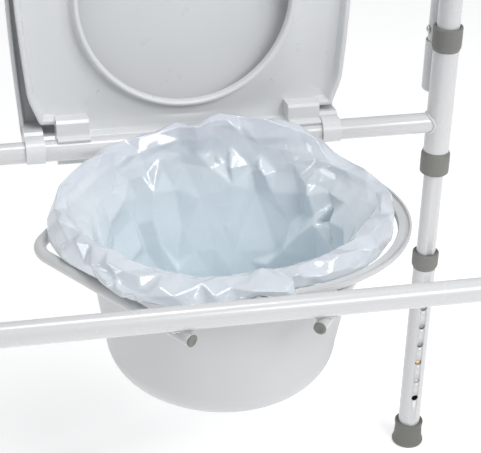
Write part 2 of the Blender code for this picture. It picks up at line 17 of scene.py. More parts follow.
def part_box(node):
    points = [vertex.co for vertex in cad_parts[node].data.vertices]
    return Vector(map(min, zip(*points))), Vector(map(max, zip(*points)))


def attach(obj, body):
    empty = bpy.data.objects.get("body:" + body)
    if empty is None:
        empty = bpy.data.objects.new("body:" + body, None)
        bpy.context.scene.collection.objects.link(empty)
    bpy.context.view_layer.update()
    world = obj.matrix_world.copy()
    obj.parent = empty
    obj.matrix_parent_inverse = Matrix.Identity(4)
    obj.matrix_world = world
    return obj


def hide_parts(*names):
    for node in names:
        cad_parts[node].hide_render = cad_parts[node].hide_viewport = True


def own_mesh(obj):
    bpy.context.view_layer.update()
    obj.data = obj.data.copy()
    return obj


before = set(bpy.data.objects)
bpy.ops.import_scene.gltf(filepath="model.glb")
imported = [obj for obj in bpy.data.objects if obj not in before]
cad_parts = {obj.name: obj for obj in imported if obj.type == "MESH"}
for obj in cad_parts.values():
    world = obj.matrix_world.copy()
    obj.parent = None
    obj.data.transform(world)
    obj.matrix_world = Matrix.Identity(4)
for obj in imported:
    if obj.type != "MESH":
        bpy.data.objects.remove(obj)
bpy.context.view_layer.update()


# ---- places read from the frame ----
def middle(node):
    low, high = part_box(node)
    return (low + high) / 2


def half_size(node):
    low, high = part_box(node)
    return (high - low) / 2


FRONT_LEG = middle("front_leg_extension_right")
REAR_LEG = middle("rear_leg_extension_right")
MIDDLE_Y = (FRONT_LEG.y + REAR_LEG.y) / 2
LEG_X = REAR_LEG.x
LEG_Y = (REAR_LEG.y - FRONT_LEG.y) / 2
FRAME_Z = middle("rear_cross_tube").z
PAN_X = middle("bail_pin_front").x
SEAT_X = (middle("seat_bumper_left").x + middle("seat_bumper_right").x) / 2
SLEEVE_LOW, SLEEVE_HIGH = (corner.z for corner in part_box("rear_sleeve_right"))

# ---- sizes, in metres ----
CROSS_R = 0.0111
WALL = 0.0012
ARM_R = 0.0124
POST_R = 0.0108
LEG_R = 0.0127
SLEEVE_R = 0.0140
COLLAR_R = 0.0160
COLLAR_H = 0.027
LIP = 0.0022
RING_GAP = 0.0005  # clearance between a collar and the tube that it is on
LIP_GAP = 0.0004  # clearance between a collar's lip and the tube that slides in it
GAP = 0.0003
ARM_FOOT_Z = 0.425
ARM_Z = 0.655
ARM_BEND = 0.070
POST_Z = (0.084, 0.500)
LEG_Z = (0.0086, 0.266)
LEG_COLLAR_R = 0.0150
LEG_COLLAR_H = 0.021
HOLE_Z = 0.0712
HOLE_PITCH = 0.0254
HOLE_COUNT = 7
HOLE_R = 0.0039
BUTTON_HOLE = 2
BUTTON_R = 0.0033
FOOT_H = 0.031
SOCKET_BACK = 0.0282
SOCKET_R = 0.0127
SOCKET_Z = (0.456, 0.5155)
BACK_R = 0.0109
BACK_TOP_Z = 0.850
BACK_BEND = 0.080
RIVET_Z = 0.528
RAIL_R = 0.0060
RAIL_END_X = 0.058
RAIL_OUT = 0.0104
RAIL_CORNER_X = 0.1765
RAIL_BEND = 0.030
RAIL_Z = FRAME_Z - CROSS_R - GAP - RAIL_R
PAN_BOTTOM_Z = 0.264
PAN_RIM_Z = 0.4203
PAN_R = 0.135
PAN_TAPER = 0.17
PAN_ROUND = 0.040
PAN_WALL = 0.0022
RIM_R = 0.147
RIM_T = 0.0032
BAIL_Z = FRAME_Z
BAIL_OUT = (0.1845, 0.150)
BAIL_IN = (0.1710, 0.140)
BAIL_FALL = 0.0437
BAIL_T = 0.0070
PIN_R = 0.0028
SEAT_ANGLE = 98.0  # degrees
CLIP_BORE = 0.01145
CLIP_R = 0.0146
SEAT_CLIP = (0.106, 0.140)
LID_CLIP = (0.1472, 0.1670)
SEAT_H = (0.0116, 0.0290)
LID_H = (0.0300, 0.0460)
SEAT_HALF = 0.177
SEAT_LENGTH = 0.384
SEAT_REAR = 0.0040
LID_LENGTH = 0.388
HOLE_CENTRE = 0.150
OPENING = (0.111, 0.111, 0.126)

SIDES = (("left", -1), ("right", 1))
ENDS = (("front", -1), ("rear", 1))
CHAIR = Matrix.Translation((0, MIDDLE_Y, 0))
PAN_PLACE = Matrix.Translation((PAN_X, MIDDLE_Y, 0))
HINGE = Matrix.Translation((0, LEG_Y + MIDDLE_Y, FRAME_Z))
HINGE = HINGE @ Matrix.Rotation(-math.radians(SEAT_ANGLE), 4, "X")


# ---- materials ----
class Nodes:
    """A material's node tree, with short calls for the few nodes used here."""

    def __init__(self, name):
        self.material = bpy.data.materials.new(name)
        self.material.use_nodes = True
        self.tree = self.material.node_tree
        self.shader = self.tree.nodes["Principled BSDF"]
        self.place = self.tree.nodes.new("ShaderNodeTexCoord").outputs["Object"]

    def node(self, kind, links, **values):
        """A new node, with sources linked to some sockets and values set on others."""
        made = self.tree.nodes.new("ShaderNode" + kind)
        for socket, source in links.items():
            self.tree.links.new(source, made.inputs[socket])
        for socket, value in values.items():
            made.inputs[socket.replace("_", " ")].default_value = value
        return made

    def noise(self, scale, detail=4.0, distortion=0.0):
        made = self.node("TexNoise", {"Vector": self.place}, Scale=scale, Detail=detail,
                         Roughness=0.55, Distortion=distortion)
        return made.outputs["Fac"]

    def ramp(self, source, stops):
        made = self.node("ValToRGB", {"Fac": source})
        elements = made.color_ramp.elements
        while len(elements) < len(stops):
            elements.new(0.5)
        for element, (position, colour) in zip(elements, stops):
            element.position = position
            element.color = (*colour, 1.0)
        return made.outputs["Color"]

    def height(self):
        """Height above the floor, as a number."""
        return self.node("SeparateXYZ", {"Vector": self.place}).outputs["Z"]

    def between(self, source, low, high, new_low=0.0, new_high=1.0):
        made = self.node("MapRange", {"Value": source}, From_Min=low, From_Max=high,
                         To_Min=new_low, To_Max=new_high)
        return made.outputs["Result"]

    def bump(self, sources, strength):
        """Chain bumps: each source is (height output, depth in metres)."""
        links = {}
        for source, depth in sources:
            made = self.node("Bump", {"Height": source, **links}, Strength=strength, Distance=depth)
            links = {"Normal": made.outputs["Normal"]}
        self.link(links["Normal"], "Normal")

    def link(self, source, socket):
        self.tree.links.new(source, self.shader.inputs[socket])

    def set(self, **values):
        for socket, value in values.items():
            self.shader.inputs[socket.replace("_", " ")].default_value = value


def shade(colour, factor):
    return tuple(min(1.0, channel * factor) for channel in colour)


def coat(name, colour, roughness, grain, depth, spread, specular=0.5, clear=0.0, metallic=0.0):
    """A coated or moulded surface: slightly uneven colour and gloss, and a fine skin of grain."""
    made = Nodes(name)
    made.set(Metallic=metallic, Specular_IOR_Level=specular, Coat_Weight=clear,
             Coat_Roughness=0.12)
    stops = [(0.30, shade(colour, 1 - spread)), (0.70, shade(colour, 1 + spread))]
    made.link(made.ramp(made.noise(9.0, detail=3.0), stops), "Base Color")
    gloss = made.between(made.noise(26.0), 0.3, 0.7, roughness * 0.88, roughness * 1.14)
    made.link(gloss, "Roughness")
    made.bump([(made.noise(grain, detail=2.0), depth),
               (made.noise(grain / 14, detail=1.0), depth * 5)], 0.35)
    return made.material


def film(name):
    """Thin polythene: teal where layers lie deep in the pan, pinker on the folds; lighter deep in
    the pan than up on the folds, which is painted light against the shade inside the pan.
    """
    made = Nodes(name)
    made.set(Specular_IOR_Level=0.70, Alpha=0.94, Coat_Weight=0.6, Coat_Roughness=0.06)
    # painted light: the colour is lighter deep in the pan than up on the folds, to offset the shade
    # inside the pan
    tint_and_painted_light = made.ramp(made.between(made.height(), 0.29, 0.455), [
        (0.0, (0.79, 0.875, 0.92)), (0.60, (0.79, 0.86, 0.91)),
        (0.84, (0.725, 0.775, 0.825)), (1.0, (0.675, 0.705, 0.77)),
    ])
    cloud = made.ramp(made.noise(16.0, detail=3.0, distortion=0.8),
                      [(0.25, (0.93, 0.95, 0.96)), (0.75, (1, 1, 1))])
    mix = made.tree.nodes.new("ShaderNodeMix")
    mix.data_type = "RGBA"
    mix.blend_type = "MULTIPLY"
    mix.inputs["Factor"].default_value = 1.0
    made.tree.links.new(tint_and_painted_light, mix.inputs["A"])
    made.tree.links.new(cloud, mix.inputs["B"])
    made.link(mix.outputs["Result"], "Base Color")
    made.link(made.between(made.noise(30.0), 0.3, 0.7, 0.16, 0.26), "Roughness")
    made.bump([(made.noise(55.0, detail=3.0, distortion=1.2), 0.0016),
               (made.noise(260.0, detail=2.0, distortion=0.6), 0.00025)], 0.30)
    return made.material


# colour, roughness, grain per metre, depth of the grain in metres, spread of the colour
POWDER_COAT = coat("powder_coat", (0.655, 0.655, 0.665), 0.25, 520.0, 0.00005, 0.012, clear=0.30)
RAIL_COAT = coat("rail_coat", (0.60, 0.61, 0.615), 0.34, 520.0, 0.00005, 0.02, clear=0.15)
WELD_COAT = coat("weld_coat", (0.65, 0.65, 0.66), 0.30, 240.0, 0.00020, 0.02, clear=0.2)
SEAT_PLASTIC = coat("seat_plastic", (0.700, 0.712, 0.722), 0.30, 900.0, 0.00004, 0.012)
PAN_PLASTIC = coat("pan_plastic", (0.590, 0.598, 0.607), 0.42, 700.0, 0.00006, 0.015, 0.4)
GREY_PLASTIC = coat("grey_plastic", (0.215, 0.215, 0.200), 0.48, 900.0, 0.00008, 0.05, 0.35)
PAD_FOAM = coat("pad_grey", (0.110, 0.110, 0.105), 0.62, 520.0, 0.00022, 0.06, 0.3)
RUBBER = coat("rubber", (0.190, 0.190, 0.172), 0.60, 700.0, 0.00012, 0.07, 0.3)
BRASS = coat("brass", (0.76, 0.56, 0.27), 0.24, 900.0, 0.00003, 0.06, metallic=1.0)
STEEL = coat("steel", (0.66, 0.66, 0.66), 0.28, 900.0, 0.00003, 0.05, metallic=1.0)
LINER_FILM = film("liner_film")


# ---- mesh helpers ----
def as_object(name, bm, mat, matrix=CHAIR, angle=32):
    """Turn a bmesh into a smooth-shaded object placed by a matrix, its faces pointing out."""
    bmesh.ops.recalc_face_normals(bm, faces=bm.faces)
    mesh = bpy.data.meshes.new(name)
    bm.to_mesh(mesh)
    bm.free()
    mesh.transform(matrix)
    mesh.materials.append(mat)
    mesh.shade_smooth()
    mesh.set_sharp_from_angle(angle=math.radians(angle))
    made = bpy.data.objects.new(name, mesh)
    bpy.context.scene.collection.objects.link(made)
    return made


def stand_for(piece, body, slot, *nodes):
    """The piece rides on a body and stands for CAD nodes, which it hides; slot is not used."""
    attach(piece, body)
    if nodes:
        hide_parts(*nodes)
    return piece


def loft(rows, wrap=False):
    """Skin closed rows of points. wrap joins the last row to the first; else the ends are capped."""
    bm = bmesh.new()
    made = [[bm.verts.new(point) for point in row] for row in rows]
    for low, high in zip(made, made[1:] + made[:1] if wrap else made[1:]):
        for i in range(len(low)):
            j = (i + 1) % len(low)
            bm.faces.new((low[i], low[j], high[j], high[i]))
    if not wrap:
        bm.faces.new(made[0][::-1])
        bm.faces.new(made[-1])
    return bm


def circle(radius, count):
    steps = [2 * math.pi * i / count for i in range(count)]
    return [(radius * math.cos(a), radius * math.sin(a)) for a in steps]


def soften(points, radius, steps=4, closed=False):
    """Round the corners of a 2-D polyline, each with the largest arc up to radius that fits."""
    points = [Vector((*p, 0)) for p in points]
    count = len(points)
    path = []
    for i, here in enumerate(points):
        if not closed and i in (0, count - 1):
            path.append(here)
            continue
        before, after = points[i - 1], points[(i + 1) % count]
        u, v = before - here, after - here
        room = min(u.length, v.length) * 0.48
        u.normalize()
        v.normalize()
        half = u.angle(v) / 2
        if half > math.radians(86):
            path.append(here)
            continue
        reach = min(radius / math.tan(half), room)
        start, end = here + u * reach, here + v * reach
        for k in range(steps + 1):
            t = k / steps
            path.append(start * (1 - t) ** 2 + here * 2 * t * (1 - t) + end * t ** 2)
    return [(p.x, p.y) for p in path]


def turned_bm(profile, count, round_by, steps=3, closed=False):
    """Revolve a (radius, height) outline about Z. closed is for one that stays off the axis."""
    profile = soften(profile, round_by, steps, closed)
    if not closed:
        profile = [p for p in profile if p[0] > 1e-6]
    rows = [[(x, y, z) for x, y in circle(radius, count)] for radius, z in profile]
    return loft(rows, wrap=closed)


def turned(name, profile, mat, count, matrix, round_by, steps=3):
    return as_object(name, turned_bm(profile, count, round_by, steps), mat, matrix)


def dome(radius, base, rise):
    """Outline of a domed end, from its rim to the axis."""
    angles = [math.radians(a) for a in range(0, 91, 15)]
    return [(radius * math.cos(a), base + rise * math.sin(a)) for a in angles]


def bent_path(corners, radius, steps):
    """A polyline whose corners are arcs of one radius."""
    corners = [Vector(c) for c in corners]
    path = [corners[0]]
    for before, here, after in zip(corners, corners[1:], corners[2:]):
        u = (before - here).normalized()
        v = (after - here).normalized()
        half = u.angle(v) / 2
        centre = here + (u + v).normalized() * (radius / math.sin(half))
        reach = radius / math.tan(half)
        start = here + u * reach - centre
        axis = start.cross(here + v * reach - centre).normalized()
        path += [centre + Matrix.Rotation((math.pi - 2 * half) * i / steps, 3, axis) @ start
                 for i in range(steps + 1)]
    path.append(corners[-1])
    return path


def path_rings(path, radius, count, closed=False):
    """Circles square to a path, carried along it without twist."""
    total = len(path)
    side = None
    rings = []
    for i, here in enumerate(path):
        before = path[i - 1] if closed or i else here
        after = path[(i + 1) % total] if closed or i < total - 1 else here
        tangent = (after - before).normalized()
        side = side or tangent.orthogonal()
        side = side - tangent * side.dot(tangent)
        side.normalize()
        up = tangent.cross(side)
        rings.append([here + side * x + up * y for x, y in circle(radius, count)])
    return rings


def tube(name, path, radius, mat, wall=WALL, count=56):
    """A hollow tube along a path with eased ends, or a solid rod when wall is 0."""
    ease = 0.0004
    path = [Vector(p) for p in path]
    rings = path_rings(path, radius, count)
    start_in = (path[1] - path[0]).normalized() * ease
    end_in = (path[-2] - path[-1]).normalized() * ease
    eased = path_rings(path, radius - ease, count)
    outer = [eased[0], [p + start_in for p in rings[0]], *rings[1:-1],
             [p + end_in for p in rings[-1]], eased[-1]]
    if not wall:
        return as_object(name, loft(outer), mat)
    inner = path_rings(path, radius - wall, count)
    return as_object(name, loft(outer + inner[::-1], wrap=True), mat)


def cut(piece, cutters):
    """Cut a mesh with other bmeshes, apply it, and remove the cutters."""
    helper = as_object(piece.name + "_cutter", cutters, POWDER_COAT, Matrix.Identity(4))
    modifier = piece.modifiers.new("Cut", "BOOLEAN")
    modifier.operation = "DIFFERENCE"
    modifier.object = helper
    modifier.solver = "EXACT"
    apply_modifiers(piece)
    bpy.data.objects.remove(helper)


def apply_modifiers(piece):
    graph = bpy.context.evaluated_depsgraph_get()
    made = bpy.data.meshes.new_from_object(piece.evaluated_get(graph), depsgraph=graph)
    piece.modifiers.clear()
    piece.data = made


def join_bm(bm, other):
    """Add another bmesh's faces to bm."""
    mesh = bpy.data.meshes.new("joined")
    other.to_mesh(mesh)
    other.free()
    bm.from_mesh(mesh)
    bpy.data.meshes.remove(mesh)


def rod_bm(start, end, radius, count=28):
    return loft(path_rings([Vector(start), Vector(end)], radius, count))


# ---- camera, lights, floor ----
def camera():
    """The view that the photograph was taken from."""
    yaw, pitch, roll = 0.2174, 0.5334, 0.0252
    place = Vector((-0.28618, -1.31723 + MIDDLE_Y, 1.20301))
    level = math.cos(pitch)
    forward = Vector((math.sin(yaw) * level, math.cos(yaw) * level, -math.sin(pitch)))
    right = Vector((math.cos(yaw), -math.sin(yaw), 0))
    up = right.cross(forward)
    across = right * math.cos(roll) + up * math.sin(roll)
    upward = up * math.cos(roll) - right * math.sin(roll)
    data = bpy.data.cameras.new("camera")
    data.sensor_width = 36.0
    data.lens = 120.62
    data.shift_x = 0.0413
    data.shift_y = 0.0277
    data.clip_start = 0.05
    made = bpy.data.objects.new("camera", data)
    bpy.context.scene.collection.objects.link(made)
    rotation = Matrix((across, upward, -forward)).transposed().to_4x4()
    made.matrix_world = Matrix.Translation(place) @ rotation
    bpy.context.scene.camera = made


def softbox(name, place, target, size, power):
    data = bpy.data.lights.new(name, "AREA")
    data.shape = "RECTANGLE"
    data.size, data.size_y = size
    data.energy = power
    made = bpy.data.objects.new(name, data)
    bpy.context.scene.collection.objects.link(made)
    made.location = place
    made.rotation_euler = (Vector(target) - Vector(place)).to_track_quat("-Z", "Y").to_euler()
def studio():
    scene = bpy.context.scene
    scene.view_settings.view_transform = "Standard"
    scene.view_settings.look = "None"
    world = bpy.data.worlds.new("studio")
    world.use_nodes = True
    background = world.node_tree.nodes["Background"].inputs
    background["Color"].default_value = (0.97, 0.985, 1.0, 1.0)
    background["Strength"].default_value = 0.34
    scene.world = world
    aim = (0, MIDDLE_Y, 0.42)
    softbox("key", (0.9, -1.7, 2.0), aim, (1.0, 0.8), 23)
    softbox("top", (0.1, -0.1, 2.4), aim, (0.7, 0.7), 15)
    softbox("right_window", (1.5, -1.1, 1.7), aim, (0.35, 0.9), 7)
    softbox("left_window", (-1.9, -0.3, 1.3), aim, (0.3, 0.9), 5)
    bm = bmesh.new()
    bmesh.ops.create_grid(bm, x_segments=8, y_segments=8, size=6.0)
    paint = coat("studio_floor", (0.93, 0.93, 0.93), 0.7, 60.0, 0.0001, 0.004, specular=0.1)
    shader = paint.node_tree.nodes["Principled BSDF"].inputs
    shader["Emission Color"].default_value = (1, 1, 1, 1)
    shader["Emission Strength"].default_value = 0.42
    floor = as_object("floor", bm, paint, Matrix.Identity(4))
    floor.location.z = -0.0002


# ---- welded seat frame ----
def cross_tube(end, sign):
    """A tube between two sleeves, its ends cut to their round, with a weld bead at each."""
    y, count, steps = sign * LEG_Y, 64, 24
    straight = LEG_X - SLEEVE_R + 0.0012
    ends = []
    for s in (-1, 1):
        ring = []
        for a in (2 * math.pi * i / count for i in range(count)):
            across, up = CROSS_R * math.cos(a), CROSS_R * math.sin(a)
            x = LEG_X - math.sqrt((SLEEVE_R - 0.0004) ** 2 - across ** 2)
            ring.append((s * x, y + across, FRAME_Z + up))
        ends.append(ring)
    left, right = ends
    between = []
    for k in range(1, steps):
        x = -straight + 2 * straight * k / steps
        between.append([(x, py, pz) for _, py, pz in left])
    piece = as_object(f"{end}_bar", loft([left, *between, right]), POWDER_COAT)
    stand_for(piece, "frame", "powder_coat", f"{end}_cross_tube")
    for side, s in SIDES:
        weld_bead(f"{end}_bar_weld_{side}", s, y)


def weld_bead(name, s, y):
    """The coated fillet round the saddle where a cross tube meets its sleeve."""
    bead_r, count = 0.0015, 96
    path = []
    for i in range(count):
        a = 2 * math.pi * i / count
        ripple = 0.00008 * math.sin(31 * a) + 0.00015 * math.sin(5 * a + s)
        reach = CROSS_R + 0.0003 + ripple
        across, up = reach * math.cos(a), reach * math.sin(a)
        x = LEG_X - math.sqrt(SLEEVE_R ** 2 - across ** 2) - 0.0003
        path.append(Vector((s * x, y + across, FRAME_Z + up)))
    bm = loft(path_rings(path, bead_r, 14, closed=True), wrap=True)
    stand_for(as_object(name, bm, WELD_COAT), "frame", "powder_coat")


def collar(name, outer, bore, lip_bore, height, matrix, body, node):
    """A moulded collar: lip at its far end, eased rims, a parting line and a shallow waist."""
    bevel = 0.0024
    profile = [
        (bore, 0), (outer - bevel, 0), (outer - 0.0002, bevel * 1.6), (outer, height * 0.45),
        (outer - 0.0001, height - 0.0012), (outer - 0.0012, height), (lip_bore, height),
        (lip_bore, height - LIP), (bore, height - LIP),
    ]
    bm = turned_bm(profile, 96, 0.0010, 4, closed=True)
    for vert in bm.verts:
        if math.hypot(vert.co.x, vert.co.y) > outer - 0.0025 and abs(vert.co.x) < 0.0006:
            vert.co *= Vector((1, 1.012, 1))
    piece = as_object(name, bm, GREY_PLASTIC, CHAIR @ matrix)
    stand_for(piece, body, "grey_plastic", node)


def sleeve_set(end, y_sign, side, x_sign):
    """A sleeve with a collar on each end."""
    x, y = x_sign * LEG_X, y_sign * LEG_Y
    piece = tube(f"{end}_sleeve_tube_{side}", [(x, y, SLEEVE_LOW), (x, y, SLEEVE_HIGH)],
                 SLEEVE_R, POWDER_COAT, count=64)
    stand_for(piece, "frame", "powder_coat", f"{end}_sleeve_{side}")
    top = Matrix.Translation((x, y, SLEEVE_HIGH + LIP + GAP - COLLAR_H))
    bottom = Matrix.Translation((x, y, SLEEVE_LOW - LIP - GAP + COLLAR_H))
    bottom = bottom @ Matrix.Rotation(math.pi, 4, "Y")
    for level, place in (("upper", top), ("lower", bottom)):
        collar(f"{end}_{level}_ring_{side}", COLLAR_R, SLEEVE_R + RING_GAP, ARM_R + LIP_GAP,
               COLLAR_H, place, "frame", f"{end}_{level}_collar_{side}")


def bucket_rail(side, sign):
    """A rod bent to a V under both cross tubes, with a cap in each end."""
    end_y = LEG_Y + RAIL_OUT
    corners = [(sign * RAIL_END_X, -end_y, RAIL_Z), (sign * RAIL_CORNER_X, 0, RAIL_Z),
               (sign * RAIL_END_X, end_y, RAIL_Z)]
    path = bent_path(corners, RAIL_BEND, 20)
    piece = tube(f"bucket_rail_rod_{side}", path, RAIL_R, RAIL_COAT, wall=0, count=40)
    stand_for(piece, "frame", "powder_coat", f"bucket_rail_{side}")
    thick = 0.0022
    profile = [(0, 0), (0.0052, 0), (0.0059, 0.0006), (0.0059, thick - 0.0009),
               (0.0042, thick), (0.0030, thick), (0.0024, thick - 0.0006), (0, thick - 0.0006)]
    for end, index in (("front", 0), ("rear", -1)):
        tip = Vector(corners[index])
        out = (tip - Vector(corners[1])).normalized()
        matrix = CHAIR @ Matrix.Translation(tip + out * GAP)
        matrix = matrix @ out.to_track_quat("Z", "Y").to_matrix().to_4x4()
        plug = turned(f"rail_cap_{end}_{side}", profile, GREY_PLASTIC, 40, matrix, 0.0005)
        stand_for(plug, "frame", "grey_plastic", f"rail_plug_{end}_{side}")
        saddle_weld(f"rail_weld_{end}_{side}", tip - out * (RAIL_OUT / abs(out.y)))


def saddle_weld(name, under):
    """Two short beads where a rail crosses under a cross tube."""
    bm = bmesh.new()
    for s in (-1, 1):
        start = Vector((under.x - 0.010, under.y + s * 0.0038, RAIL_Z + RAIL_R + 0.0002))
        path = [start + Vector((0.020 * k / 16, 0, 0.0006 * math.sin(k * 1.9))) for k in range(17)]
        join_bm(bm, loft(path_rings(path, 0.0014, 12)))
    stand_for(as_object(name, bm, WELD_COAT), "frame", "powder_coat")


def backrest_socket(side, sign):
    """A cup for a backrest leg, with the web that joins it to the sleeve."""
    x, y = sign * LEG_X, LEG_Y + SOCKET_BACK
    low, high = SOCKET_Z
    bore, floor = BACK_R + 0.0005, low + 0.0020
    profile = [(0, low + 0.0010), (SOCKET_R - 0.0035, low), (SOCKET_R, low + 0.0035),
               (SOCKET_R, high), (bore, high), (bore, floor), (0, floor)]
    cup = turned_bm(profile, 64, 0.0016, 4)
    web = bmesh.new()
    near, far = SLEEVE_R + 0.0001, SOCKET_BACK - SOCKET_R + 0.0008
    centre = (0, (near + far) / 2 - SOCKET_BACK, (low + high) / 2)
    size = (0.0064, far - near, high - low - 0.006)
    bmesh.ops.create_cube(web, size=1.0, matrix=Matrix.LocRotScale(centre, None, size))
    bmesh.ops.bevel(web, geom=web.edges[:], offset=0.0006, segments=2, affect="EDGES")
    join_bm(cup, web)
    place = CHAIR @ Matrix.Translation((x, y, 0))
    piece = as_object(f"backrest_cup_{side}", cup, POWDER_COAT, place)
    stand_for(piece, "frame", "powder_coat", f"backrest_socket_{side}")


# ---- legs, arms, back ----
def leg(end, y_sign, side, x_sign):
    """A post in its sleeve, and the extension on it with its holes, collar, foot and button."""
    x, y = x_sign * LEG_X, y_sign * LEG_Y
    tag, body = f"{end}_{side}", f"{end}_lower_leg_{side}"
    button_z = HOLE_Z + BUTTON_HOLE * HOLE_PITCH
    post = tube(f"leg_post_{tag}", [(x, y, POST_Z[0]), (x, y, POST_Z[1])], POST_R, POWDER_COAT)
    front = y + MIDDLE_Y
    cut(post, rod_bm((x, front, button_z), (x, front - 0.02, button_z), BUTTON_R + 0.0004))
    stand_for(post, "frame", "powder_coat", f"{end}_leg_post_{side}")

    low, high = LEG_Z
    lower = tube(f"leg_tube_{tag}", [(x, y, low), (x, y, high)], LEG_R, POWDER_COAT, count=64)
    holes = bmesh.new()
    for k in range(HOLE_COUNT):
        z = HOLE_Z + k * HOLE_PITCH
        join_bm(holes, rod_bm((x, front, z), (x, front - 0.02, z), HOLE_R))
    cut(lower, holes)
    stand_for(lower, body, "powder_coat", f"{end}_leg_extension_{side}")
    place = Matrix.Translation((x, y, high + LIP + GAP - LEG_COLLAR_H))
    collar(f"leg_ring_{tag}", LEG_COLLAR_R, LEG_R + RING_GAP, POST_R + LIP_GAP, LEG_COLLAR_H,
           place, body, f"{end}_leg_collar_{side}")
    foot(tag, x, y, low, body, f"{end}_foot_tip_{side}")
    button(tag, x, y, button_z, f"{end}_button_{side}", f"{end}_leg_button_{side}")


def foot(tag, x, y, low, body, node):
    """A moulded rubber ferrule: rolled top rim, waist, flared base with a tread groove."""
    bore, floor = LEG_R + RING_GAP, low - GAP
    profile = [
        (0, 0.0004), (0.0050, 0.0004), (0.0056, 0), (0.0166, 0), (0.0183, 0.0014),
        (0.0186, 0.0034), (0.0180, 0.0056), (0.0170, 0.0075), (0.0165, 0.0120),
        (0.0161, 0.0200), (0.0159, 0.0262), (0.0167, 0.0274), (0.0168, 0.0300),
        (0.0160, FOOT_H), (bore, FOOT_H), (bore, floor), (0, floor),
    ]
    place = CHAIR @ Matrix.Translation((x, y, 0))
    piece = turned(f"foot_{tag}", profile, RUBBER, 80, place, 0.0012, 4)
    stand_for(piece, body, "rubber", node)


def button(tag, x, y, z, body, node):
    """A spring button: a flange inside the post, and a domed pin that ends in the extension."""
    flange_top, reach, rise = 0.0082, POST_R + 0.00035, 0.0014
    profile = [(0, 0.0050), (BUTTON_R, 0.0050), (BUTTON_R, 0.0068), (0.0045, 0.0068),
               (0.0045, flange_top), (BUTTON_R, flange_top)]
    profile += dome(BUTTON_R, reach - rise, rise)
    matrix = CHAIR @ Matrix.Translation((x, y, z)) @ Matrix.Rotation(math.pi / 2, 4, "X")
    piece = turned(f"spring_button_{tag}", profile, BRASS, 40, matrix, 0.0003)
    stand_for(piece, body, "brass", node)


def arm(side, sign):
    """An arm tube bent over both sleeves, with a padded rest on it."""
    x = sign * LEG_X
    corners = [(x, LEG_Y, ARM_FOOT_Z), (x, LEG_Y, ARM_Z),
               (x, -LEG_Y, ARM_Z), (x, -LEG_Y, ARM_FOOT_Z)]
    piece = tube(f"arm_{side}", bent_path(corners, ARM_BEND, 18), ARM_R, POWDER_COAT)
    stand_for(piece, "frame", "powder_coat", f"arm_tube_{side}")
    pad_half = half_size(f"armrest_pad_{side}")
    seat_r = ARM_R + GAP
    outline = [(0.0150, -0.0010), (0.0222, -0.0012), (0.0243, 0.0040), (0.0236, 0.0110),
               (0.0190, 0.0178), (0.0110, 0.0222), (0.0, 0.0236)]
    outline = soften(outline, 0.006, 5)
    outline += [(-px, pz) for px, pz in outline[-2::-1]]
    turns = [math.pi - math.pi * i / 24 for i in range(25)]
    groove = [(seat_r * math.cos(a), seat_r * math.sin(a)) for a in turns]
    rows = []
    count = 26
    for i in range(count + 1):
        along = -1 + 2 * i / count
        grow = (1 - abs(along) ** 9) ** 0.5 * 0.24 + 0.76 if abs(along) < 1 else 0.76
        waist = 1 - 0.035 * math.cos(math.pi * along) * (1 - abs(along))
        ring = []
        for px, pz in outline:
            reach = math.hypot(px, pz) * (grow if pz > 0 else 1) * waist
            reach = max(reach, seat_r + 0.0024)
            turn = math.atan2(pz, px)
            ring.append((x + reach * math.cos(turn), along * pad_half.y,
                         ARM_Z + reach * math.sin(turn)))
        ring += [(x + px, along * pad_half.y, ARM_Z + pz) for px, pz in groove]
        rows.append(ring)
    pad = as_object(f"armrest_{side}", loft(rows), PAD_FOAM)
    stand_for(pad, "frame", "grey_plastic", f"armrest_pad_{side}")


def backrest():
    """The backrest's bent tube, with a stop rivet on the inside of each leg."""
    y, foot_z = LEG_Y + SOCKET_BACK, SOCKET_Z[0] + 0.0023
    corners = [(-LEG_X, y, foot_z), (-LEG_X, y, BACK_TOP_Z),
               (LEG_X, y, BACK_TOP_Z), (LEG_X, y, foot_z)]
    piece = tube("backrest_bar", bent_path(corners, BACK_BEND, 20), BACK_R, POWDER_COAT)
    stand_for(piece, "backrest", "powder_coat", "backrest_tube")
    profile = [(0, 0), (0.0046, 0), (0.0046, 0.0007), (0.0030, 0.0009)]
    profile += dome(0.0028, 0.0010, 0.0016)
    for side, sign in SIDES:
        matrix = CHAIR @ Matrix.Translation((sign * (LEG_X - BACK_R - GAP), y, RIVET_Z))
        matrix = matrix @ Matrix.Rotation(-sign * math.pi / 2, 4, "Y")
        rivet = turned(f"rivet_{side}", profile, STEEL, 40, matrix, 0.0002)
        stand_for(rivet, "backrest", "steel", f"backrest_rivet_{side}")


# ---- pan and bail ----
def pan_radius(z):
    return PAN_R - PAN_TAPER * (PAN_RIM_Z - z)


def pan_side(inset, low, steps=14):
    """Inside or outside of the pan's round bottom corner, moved inwards by inset."""
    start_z = PAN_BOTTOM_Z + PAN_ROUND
    corner_r = PAN_ROUND - inset
    centre_r = pan_radius(start_z) - PAN_ROUND
    points = []
    for i in range(steps + 1):
        a = math.radians(90 * i / steps)
        points.append((centre_r + corner_r * math.sin(a), start_z - (start_z - low) * math.cos(a)))
    return points


